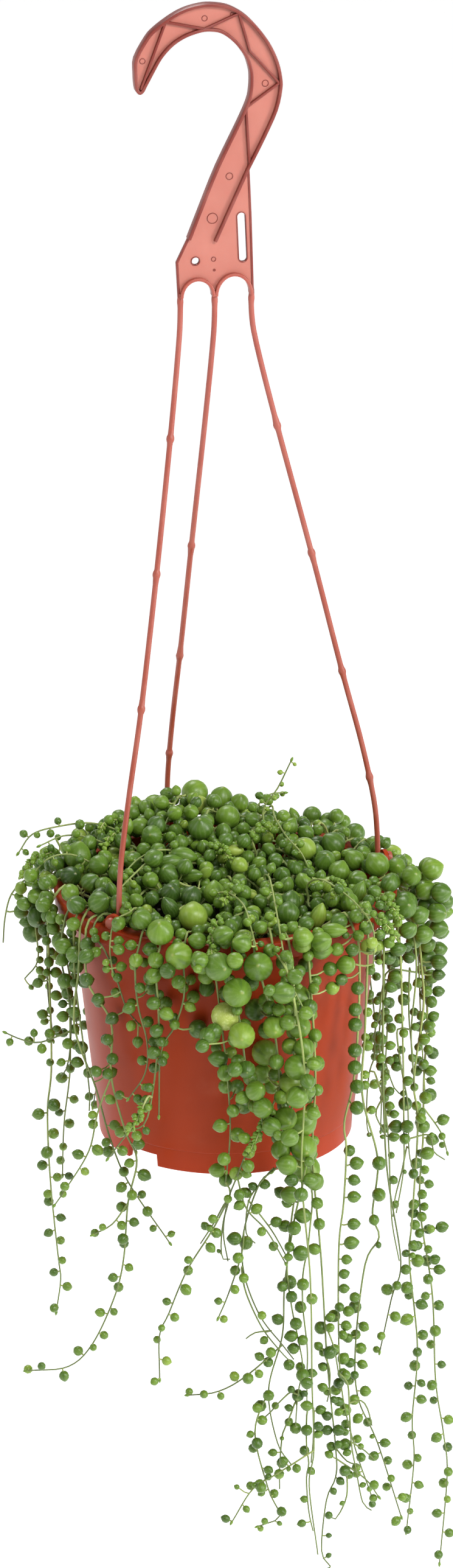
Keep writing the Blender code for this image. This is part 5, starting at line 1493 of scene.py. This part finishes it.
def back_strands():
    """The strands round the back, spread evenly with lengths drawn at random."""
    draw = random.Random(BACK_SEED)
    strands = []
    azimuths = []
    for start, end, count in BACK_ARCS:
        azimuths += [start + (end - start) * index / (count - 1) for index in range(count)]
    for index, azimuth in enumerate(azimuths):
        azimuth += draw.uniform(-1.0, 1.0)
        length = draw.uniform(*BACK_LENGTHS)
        turn = math.radians(azimuth)
        across = BACK_OUT * math.sin(turn)
        hanging = []
        drop = 10.0
        while drop < length + 10.0:
            hanging.append((across, drop))
            across += draw.uniform(-4.0, 4.0)
            drop += 25.0
        depth = -BACK_OUT * math.cos(turn)
        name = "strand_back_%02d" % (index + 1)
        strands.append(Strand(name, azimuth, depth, tuple(hanging)))
    return strands


def lengths_along(line):
    """The distance of each point of a line from its start."""
    return [0.0, *itertools.accumulate((b - a).length for a, b in zip(line, line[1:]))]


def add_stem(room, growth, line, first, last, tones):
    """Adds a stem that tapers from its first radius to its last and changes tone likewise."""
    along = lengths_along(line)
    radii = [first + (last - first) * place / along[-1] for place in along]
    shades = [tones[0] + (tones[1] - tones[0]) * place / along[-1] for place in along]
    growth.stems.append((line, radii, shades))
    for point, radius in zip(line, radii):
        room.add_stem(growth, point, radius)


def kind_of(size):
    """A pearl's kind: larger ones have more faces."""
    if size > 4.1:
        return BIG_PEARL
    return PEARL if size > 2.9 else SMALL_PEARL


def put_leaf(room, growth, root, middle, size, tone, kind=None, way=None):
    """Places a leaf with its stalk."""
    out = (middle - root).normalized()
    room.add(middle, size)
    growth.leaves.append(Leaf(kind or kind_of(size), middle, way or out, size, tone))
    end = middle - (way or out) * size * (1.1 if way else 0.95)
    sagging = root.lerp(end, 0.5) + Vector((0.0, 0.0, -0.1 * (end - root).length))
    line = smooth_route([root, sagging, end], 2.0)
    thick = 0.26 + 0.04 * size
    growth.stems.append((line, [thick] * len(line), [0.45 + 0.4 * tone] * len(line)))


def add_leaf(room, growth, root, ways, size, tone):
    """Places a pearl on a short stalk in the first free way, full size or somewhat smaller."""
    for shrunk in (size, size * 0.82, size * 0.66):
        for way in ways:
            middle = root + way * (shrunk + STALK)
            hides = hides_wall(middle) or room.would_hide(middle, shrunk)
            if not hides and room.is_clear(middle, shrunk):
                put_leaf(room, growth, root, middle, shrunk, tone)
                return


def leaves_along(room, growth, line, largest, smallest, draw, start, tone, closeness=(1.05, 1.3)):
    """Pearls along a stem, smaller and further apart towards its tip and on all its sides, and a bud."""
    along = lengths_along(line)
    axes = cross_axes(line)
    total = along[-1]
    place = start
    turn = draw.uniform(0.0, 2 * math.pi)
    while place < total:
        index = min(next(step for step, length in enumerate(along) if length >= place), len(line) - 1)
        point = line[index]
        share = place / total
        size = (largest + (smallest - largest) * share) * draw.uniform(0.80, 1.15)
        ways = []
        for more in TRIED_TURNS:
            way = turned_way(axes[index], turn + more)
            ways.append((way + Vector((0.0, 0.0, -0.25))).normalized())
        light = min(1.0, max(0.0, tone + draw.gauss(0.0, 0.11) + 0.08 * share))
        add_leaf(room, growth, point, ways, size, light)
        apart = closeness[0] + (closeness[1] - closeness[0]) * share
        place += 2.0 * size * apart * draw.uniform(0.8, 1.3)
        turn += 2.4 + draw.uniform(-0.5, 0.5)
    way = (line[-1] - line[-2]).normalized()
    growth.leaves.append(Leaf(BUD, line[-1] + way * 0.9, way, 1.0, 0.6))


def as_seen(spot):
    """Across and back of a spot as the camera sees it against the plane that the crown is read on."""
    return spot.x - POT_AXIS, spot.y + (spot.z - RIM_TOP - READ_RISE) * SEEN_BACK


def in_hollow(spot):
    """Whether a spot lies in one of the crown's dark hollows."""
    across, back = as_seen(spot)
    return any(math.hypot(across - right, (back - far) * 0.5) < radius for right, far, radius in CROWN_GAPS)


def hides_rim(spot):
    """Whether a spot would hide a stretch of the rim that stays bare."""
    azimuth = math.degrees(math.atan2(spot.x - POT_AXIS, -spot.y))
    outside = math.hypot(spot.x - POT_AXIS, spot.y) > BARE_FROM
    return outside and any(start < azimuth < end for start, end in BARE_RIM)


def hides_wall(spot):
    """Whether a spot would hide a patch of the pot's wall that stays bare."""
    shift = spot.y - FRONT_DEPTH
    if not -WALL_BEFORE <= shift < WALL_BEHIND:
        return False
    across = spot.x - POT_AXIS
    drop = RIM_TOP - spot.z - shift * SEEN_UP
    return any(left < across < right and top < drop < foot for left, right, top, foot in BARE_WALL)


def show_pearls(room):
    """The pearls that are placed one by one, each joined by a stalk to the nearest stem."""
    for across, drop, size, tone in FRONT_PEARLS:
        mark = spot_at(across, FRONT_DEPTH, drop)
        spot = None
        for gap in FRONT_GAPS:
            spot = spot or room.drop_in(mark, size, *FRONT_SPAN, gap)
        join_to_stem(room, spot, size, tone)
    for depth, pearls in ((LOW_DEPTH, LOW_PEARLS), (FLANK_DEPTH, FLANK_PEARLS)):
        for across, drop, size, tone in pearls:
            spot = beside_stem(room, spot_at(across, depth, drop), size)
            join_to_stem(room, spot, size, tone)
    for across, back, drop, size, tone in SIDE_PEARLS:
        spot = room.drop_in(spot_at(across, back, drop), size, *SIDE_SPAN, CROWN_GAP)
        join_to_stem(room, spot, size, tone)
    for across, back, size, tone, way in CROWN_SPINDLES:
        spot = rest_on_crown(room, across, back, size * 0.8)
        join_to_stem(room, spot, size, tone, SPINDLE, Vector(way).normalized())
    for across, back, size, tone in CROWN_PEARLS:
        join_to_stem(room, rest_on_crown(room, across, back, size), size, tone)


def rest_on_crown(room, across, back, size):
    """Where a ball rests on the crown's surface on the camera's line of sight, or None."""
    mark = spot_at(across, back, -READ_RISE)
    way = sight(mark)
    step = -50.0
    while step < 40.0 and (mark + way * step).z - RIM_TOP > crown_rise(mark + way * step):
        step += 0.5
    return room.drop_in(mark, size, step - 12.0, step + 3.0, CROWN_GAP)


def beside_stem(room, mark, size):
    """Where a ball hangs clear and nearest to a stem on the camera's line of sight, or None."""
    way = sight(mark)
    best = None
    nearest = LONGEST_STALK
    for step in range(*STEM_SPAN):
        spot = mark + way * step
        found = room.nearest_stem(spot)
        if found and room.is_clear(spot, size, STEM_GAP):
            reach = (found[1] - spot).length
            if reach < nearest:
                nearest = reach
                best = spot
    return best


def add_fine_stems(room):
    """The fine side stems, each from the nearest stem, whose depth it leaves as it hangs down."""
    for depth, stems in ((FLANK_DEPTH, FLANK_STEMS), (LOW_DEPTH, LOW_STEMS)):
        for places in stems:
            line = [spot_at(across, depth, drop) for across, drop in places]
            growth, root = room.nearest_stem(line[0])
            for point in line:
                share = (RIM_TOP - point.z - places[0][1]) / 60.0
                point.y += (root.y - depth) * max(0.0, 1.0 - share) + 1.5 * math.sin(point.z / 17.0)
            add_stem(room, growth, smooth_route([root, *line], 2.5), 0.44, 0.30, (0.45, 0.2))


def join_to_stem(room, spot, size, tone, kind=None, way=None):
    """Places a leaf at a spot on a stalk from the nearest stem, if there are both."""
    found = room.nearest_stem(spot) if spot else None
    if found:
        put_leaf(room, found[0], found[1], spot, size, tone, kind, way)
        room.keep_shown(spot, size)


def laid_stem(room, places, step, radii, tones):
    """A stem from the nearest one through places of (across, back, rise), as its growth and its line."""
    points = [spot_at(across, back, -rise) for across, back, rise in places]
    growth, root = room.nearest_stem(points[0])
    line = smooth_route([root, *points], step)
    add_stem(room, growth, line, *radii, tones)
    return growth, line


def add_runners(room, draw):
    """Pale stems that lie across the crown with a few small pearls, and the growing tips."""
    for places in RUNNERS:
        growth, line = laid_stem(room, places, 2.0, (0.48, 0.34), (0.6, 0.45))
        leaves_along(room, growth, line, 2.5, 1.6, draw, 8.0, 0.45, (1.6, 1.4))
    for places in SPRIGS:
        growth, line = laid_stem(room, places, 1.2, (0.5, 0.4), (0.7, 0.85))
        axes = cross_axes(line)
        for place in range(len(line) // 3, len(line)):
            share = place / len(line)
            for index in range(2):
                angle = 2.4 * place + math.pi * index + draw.uniform(-0.4, 0.4)
                onward = (line[place] - line[place - 1]).normalized() * share
                way = (turned_way(axes[place], angle) + onward).normalized()
                size = draw.uniform(0.9, 1.5) * (1.25 - 0.4 * share)
                middle = line[place] + way * (size + 0.4)
                if room.is_clear(middle, size, -0.9):
                    room.add(middle, size * 0.7)
                    kind = BUD if size < 1.2 else SMALL_PEARL
                    growth.leaves.append(Leaf(kind, middle, way, size, 0.48 + 0.2 * share))


def make_strands(room, draw):
    """Every strand's growth with its stems, main stem first."""
    grown = []
    for index, strand in enumerate([*STRANDS, *back_strands()]):
        growth = Growth(strand.name)
        points = over_rim(strand.azimuth, ROOT_RADII[index % 2], 3.0 + 1.4 * (index % 3))
        main = smooth_route(points + hanging_points(strand, strand.hanging))
        pale = draw.uniform(0.5, 0.85)
        add_stem(room, growth, main, STEM_RADIUS, TIP_RADIUS, (pale, pale - 0.5))
        lines = [main]
        for places in strand.branches:
            ends = hanging_points(strand, places, 1.5)
            start = min(main, key=lambda point: (point - ends[0]).length)
            line = smooth_route([start, *ends[1:]])
            add_stem(room, growth, line, BRANCH_RADIUS, TIP_RADIUS, (pale - 0.2, pale - 0.4))
            lines.append(line)
        grown.append((growth, strand, lines))
    return grown


def leaf_strands(room, grown, draw):
    """The strands' drawn pearls, above and below the stretch that has placed ones."""
    for growth, strand, (main, *branches) in grown:
        if strand.name in PLACED:
            start, end = PLACED[strand.name]
            upper = [point for point in main if RIM_TOP - point.z < start]
            lower = [point for point in main if RIM_TOP - point.z > end]
            if len(upper) > 8:
                leaves_along(room, growth, upper, 3.8, 3.0, draw, 12.0, 0.4, (1.0, 1.2))
            if len(lower) > 8:
                leaves_along(room, growth, lower, 2.7, 2.0, draw, 2.0, 0.4, (1.2, 1.8))
        else:
            leaves_along(room, growth, main, strand.largest, 2.1, draw, 12.0, 0.36, (1.25, 1.9))
        for line in branches:
            leaves_along(room, growth, line, 2.6, 1.9, draw, 8.0, 0.45, (1.3, 1.9))


def crown_rise(point):
    """How high the crown's surface stands above the rim over a point."""
    across = point.x - POT_AXIS
    radius = math.hypot(across, point.y)
    azimuth = math.degrees(math.atan2(across, -point.y))
    full = 10.0 + 3.0 * math.cos(math.radians(azimuth - 230.0))
    mound = 11.0 * math.exp(-((across + 20.0) ** 2 + (point.y - 54.0) ** 2) / 900.0)
    dip = 1.5 * math.exp(-((across - 28.0) ** 2 + (point.y - 58.0) ** 2) / 1100.0)
    return full * (1.0 - (radius / CROWN_REACH) ** 4) + mound - dip if radius < CROWN_REACH else 0.0


def crown_stems(room, draw):
    """Each clump's creeping stems, which rise from its root and spread out under the crown's surface."""
    grown = []
    for number, (azimuth, distance, count) in enumerate((*CLUMPS, SHOOT_CLUMP), 1):
        name = "crown_clump_%d" % number if number <= len(CLUMPS) else "upright_shoot"
        growth = Growth(name)
        root = around(azimuth, distance, SOIL_DROP + ROOT_SUNK)
        lines = []
        turn = draw.uniform(0.0, 2 * math.pi)
        for index in range(count):
            heading = turn + 2 * math.pi * index / count
            way = Vector((math.cos(heading), math.sin(heading), 0.0))
            points = [root + way * 0.6, root + way * 1.2 + Vector((0.0, 0.0, ROOT_SUNK + 2.0))]
            reach = draw.uniform(20.0, 30.0)
            sunk = draw.uniform(2.0, 8.0)
            for share in (0.3, 0.65, 1.0):
                spot = root + way * reach * share
                spot += way.cross(Vector((0.0, 0.0, 1.0))) * draw.uniform(-3.0, 3.0)
                radius = math.hypot(spot.x - POT_AXIS, spot.y)
                if radius > CREEP_REACH:
                    spot.x = POT_AXIS + (spot.x - POT_AXIS) * CREEP_REACH / radius
                    spot.y *= CREEP_REACH / radius
                spot.z = RIM_TOP + max(crown_rise(spot) - sunk - 3.0 * share**2, -SOIL_DROP + 2.5)
                points.append(spot)
            line = smooth_route(points, 2.5)
            add_stem(room, growth, line, 0.75, 0.45, (0.3, draw.uniform(0.4, 0.9)))
            lines.append(line)
        grown.append((growth, lines))
    shoot, lines = grown[-1]
    start = around(SHOOT_CLUMP[0], SHOOT_CLUMP[1], 2.0)
    tall = [spot_at(across, start.y, drop) for across, drop in SHOOT]
    line = smooth_route([start, *tall])
    add_stem(room, shoot, line, 0.55, 0.3, (0.6, 0.3))
    leaves_along(room, shoot, line, 1.5, 1.0, draw, 18.0, 0.6, (1.4, 2.2))
    return grown


def leaf_crown(room, grown, draw):
    """The crown's pearls: along every creeping stem, then in what gaps are left near a stem."""
    for growth, lines in grown:
        for line in lines:
            leaves_along(room, growth, line, draw.uniform(3.2, 5.0), 2.8, draw, 16.0, 0.42, (0.9, 0.8))
    for size, tries in CROWN_FILL:
        for _ in range(tries):
            heading = draw.uniform(0.0, 2 * math.pi)
            radius = CROWN_EDGE * math.sqrt(draw.random())
            spot = spot_at(radius * math.sin(heading), -radius * math.cos(heading))
            sunk = draw.uniform(0.0, 9.0) if radius < 62.0 else draw.uniform(-3.0, 4.0)
            spot.z = RIM_TOP + crown_rise(spot) - sunk + 0.5 * (size - 3.6)
            grown_size = size * draw.uniform(0.85, 1.12)
            if radius > RIM_RADIUS:
                grown_size *= 0.85
                spot.z = RIM_TOP + draw.uniform(-8.0, 2.0 * math.cos(heading) + 1.5)
            hides = in_hollow(spot) or hides_rim(spot) or room.would_hide(spot, grown_size)
            if hides or not room.is_clear(spot, grown_size):
                continue
            found = room.nearest_stem(spot)
            if found is None or (found[1] - spot).length > grown_size + CROWN_STALK:
                continue
            light = min(0.9, max(0.0, 0.52 + draw.gauss(0.0, 0.2)))
            kind = SPINDLE if draw.random() < SPINDLE_SHARE else None
            put_leaf(room, found[0], found[1], spot, grown_size, light, kind)


def leaf_body(tree, segments, rings, wide, tall, tip):
    """A leaf of unit size along Z: a ball drawn out to a tip, which keeps its place on the ball."""
    ball = tree.node("GeometryNodeMeshUVSphere", {"Segments": segments, "Rings": rings, "Radius": 1.0})
    spot = tree.node("GeometryNodeInputPosition")
    ball = tree.node(
        "GeometryNodeStoreNamedAttribute",
        {"Geometry": ball, "Name": "leaf_place", "Value": spot},
        data_type="FLOAT_VECTOR",
        domain="POINT",
    )
    x, y, z = tree.parts(spot)
    above = tree.maths("MAXIMUM", z, 0.0) ** 8.0
    slim = (1.0 - above * 0.3) * wide
    moved = tree.node("ShaderNodeCombineXYZ", {0: x * slim, 1: y * slim, 2: z * tall + above * tip})
    ball = tree.node("GeometryNodeSetPosition", {"Geometry": ball, "Position": moved})
    return tree.node("GeometryNodeSetShadeSmooth", {"Geometry": ball})


def growth_tree(leaf, stem):
    """Geometry Nodes that turn routes into stems and points into leaves of five kinds."""
    tree = Grower("leafy_growth")
    sides = tree.input("Stem Sides", "Int", 7)
    segments = tree.input("Pearl Segments", "Int", 12)
    rings = tree.input("Pearl Rings", "Int", 8)
    tip = tree.input("Tip Length", "Float", 0.2)

    def is_kind(number):
        return tree.node("FunctionNodeCompare", {2: kind, 3: number}, operation="EQUAL", data_type="INT")

    kind = tree.stored("kind", "INT")
    size = tree.stored("size")
    is_stem = is_kind(STEM_POINT)
    routes = tree.node("GeometryNodeSeparateGeometry", {"Geometry": tree.carrier, "Selection": is_stem})
    curves = tree.node("GeometryNodeMeshToCurve", {"Mesh": routes})
    section = tree.node("GeometryNodeCurvePrimitiveCircle", {"Resolution": sides, "Radius": 1.0})
    stems = tree.node("GeometryNodeCurveToMesh", {
        "Curve": curves, "Profile Curve": section, "Scale": size, "Fill Caps": True,
    })
    stems = tree.coated(tree.node("GeometryNodeSetShadeSmooth", {"Geometry": stems}), stem)

    is_leaf = tree.node("FunctionNodeBooleanMath", {0: is_stem}, operation="NOT")
    points = tree.node("GeometryNodeMeshToPoints", {"Mesh": tree.carrier, "Selection": is_leaf})
    way = tree.stored("way", "FLOAT_VECTOR")
    aim = tree.node("FunctionNodeAlignRotationToVector", {"Vector": way}, axis="Z")
    twist = tree.node("FunctionNodeAxisAngleToRotation", {
        "Axis": (0.0, 0.0, 1.0), "Angle": tree.random(0.0, 2 * math.pi),
    })
    aim = tree.node("FunctionNodeRotateRotation", {0: aim, 1: twist}, rotation_space="LOCAL")
    tall = size * tree.random(0.94, 1.08)
    scale = tree.node("ShaderNodeCombineXYZ", {0: size, 1: size, 2: tall})
    bodies = (
        (BIG_PEARL, leaf_body(tree, 16, 10, 1.0, 0.97, tip)),
        (PEARL, leaf_body(tree, segments, rings, 1.0, 1.0, tip)),
        (SMALL_PEARL, leaf_body(tree, 9, 6, 0.98, 1.0, tip)),
        (SPINDLE, leaf_body(tree, 14, 10, 0.72, 1.1, 0.3)),
        (BUD, leaf_body(tree, 6, 4, 0.7, 1.2, 0.3)),
    )
    crowds = []
    for number, body in bodies:
        crowds.append(tree.node("GeometryNodeInstanceOnPoints", {
            "Points": points,
            "Selection": is_kind(number),
            "Instance": body,
            "Rotation": aim,
            "Scale": scale,
        }))
    leaves = tree.node("GeometryNodeRealizeInstances", {"Geometry": tree.joined(crowds)})
    return tree.finished(tree.joined((stems, tree.coated(leaves, leaf))))


def carrier_of(growth):
    """A mesh with the growth's routes as edges and its leaves as loose points, and their attributes."""
    spots, edges, kinds, sizes, ways, tones = [], [], [], [], [], []
    for line, radii, shades in growth.stems:
        first = len(spots)
        edges += [(first + place, first + place + 1) for place in range(len(line) - 1)]
        spots += [point * MM for point in line]
        sizes += [radius * MM for radius in radii]
        kinds += [STEM_POINT] * len(line)
        ways += [Vector((0.0, 0.0, 1.0))] * len(line)
        tones += shades
    for leaf in growth.leaves:
        spots.append(leaf.middle * MM)
        sizes.append(leaf.size * MM)
        kinds.append(leaf.kind)
        ways.append(leaf.way)
        tones.append(leaf.tone)
    mesh = bpy.data.meshes.new(growth.name)
    mesh.from_pydata(spots, edges, [])
    for name, kind, key, values in (
        ("kind", "INT", "value", kinds),
        ("size", "FLOAT", "value", sizes),
        ("tone", "FLOAT", "value", tones),
        ("way", "FLOAT_VECTOR", "vector", [number for way in ways for number in way]),
    ):
        mesh.attributes.new(name, kind, "POINT").data.foreach_set(key, values)
    return placed(growth.name, mesh)


def make_plant():
    """Crown and strands: stems first, then placed pearls, then drawn ones; each growth is one piece."""
    draw = random.Random(SEED)
    room = Room()
    fill_room_with_holder(room)
    strands = make_strands(room, draw)
    crown = crown_stems(room, draw)
    add_runners(room, draw)
    add_fine_stems(room)
    show_pearls(room)
    leaf_strands(room, strands, draw)
    leaf_crown(room, crown, draw)
    group = growth_tree(pearl_finish(), stem_finish())
    for growth, *_ in (*strands, *crown):
        carrier = carrier_of(growth)
        grown_by(group, carrier)
        piece = fixed_mesh(carrier, "leafy_" + growth.name)
        seat(piece, growth.name)


def make_floor():
    """A wide pale floor under the hanging plant."""
    shape = bmesh.new()
    bmesh.ops.create_circle(shape, cap_ends=True, segments=64, radius=60.0 / MM)
    at_floor = Matrix.Translation((0.0, 0.0, FLOOR_HEIGHT / MM))
    floor = new_object("studio_floor", shape, floor_finish(), matrix=at_floor)


def add_area_light(name, place, target, size, power):
    """A rectangular white light at a place, turned towards a target."""
    lamp = bpy.data.lights.new(name, "AREA")
    lamp.shape = "RECTANGLE"
    lamp.size, lamp.size_y = size
    lamp.energy = power
    made = placed(name, lamp)
    made.location = place
    made.rotation_euler = (Vector(target) - Vector(place)).to_track_quat("-Z", "Y").to_euler()


def make_studio():
    """White walls under a dimmer ceiling, and large soft lights."""
    world = bpy.data.worlds.new("studio")
    bpy.context.scene.world = world
    world.use_nodes = True
    back = world.node_tree.nodes["Background"]
    back.inputs["Color"].default_value = (1.0, 1.0, 1.0, 1.0)
    walls = Tree(world.node_tree)
    height = walls.parts(walls.node("ShaderNodeTexCoord", output="Generated"))[2]
    walls.fill(back.inputs["Strength"], 1.0 - walls.step(height, 0.04, 0.28) * 0.76)
    middle = (0.0, 0.0, -0.4)
    add_area_light("key", (0.9, -1.7, 1.4), middle, (0.8, 0.8), 42.0)
    add_area_light("side", (1.8, -0.9, 0.2), middle, (0.5, 1.4), 29.0)
    add_area_light("fill", (-1.7, -0.6, 0.6), middle, (0.5, 1.6), 9.0)
    add_area_light("rear", (-0.5, 1.5, 1.7), middle, (1.0, 1.0), 34.0)
    bpy.context.scene.view_settings.view_transform = "Standard"


def make_camera():
    """The photograph's camera, in front of the hook and a little above it, looking down."""
    lens = bpy.data.cameras.new("camera")
    lens.sensor_fit = "VERTICAL"
    lens.sensor_height = 36.0
    lens.sensor_width = 36.0
    lens.lens = CAMERA_LENS
    camera = placed("camera", lens)
    camera.location = CAMERA_PLACE
    camera.rotation_euler = (math.radians(90.0 - CAMERA_PITCH), 0.0, 0.0)
    bpy.context.scene.camera = camera


make_pot()
make_hanger()
make_soil()
make_plant()
make_floor()
make_studio()
make_camera()
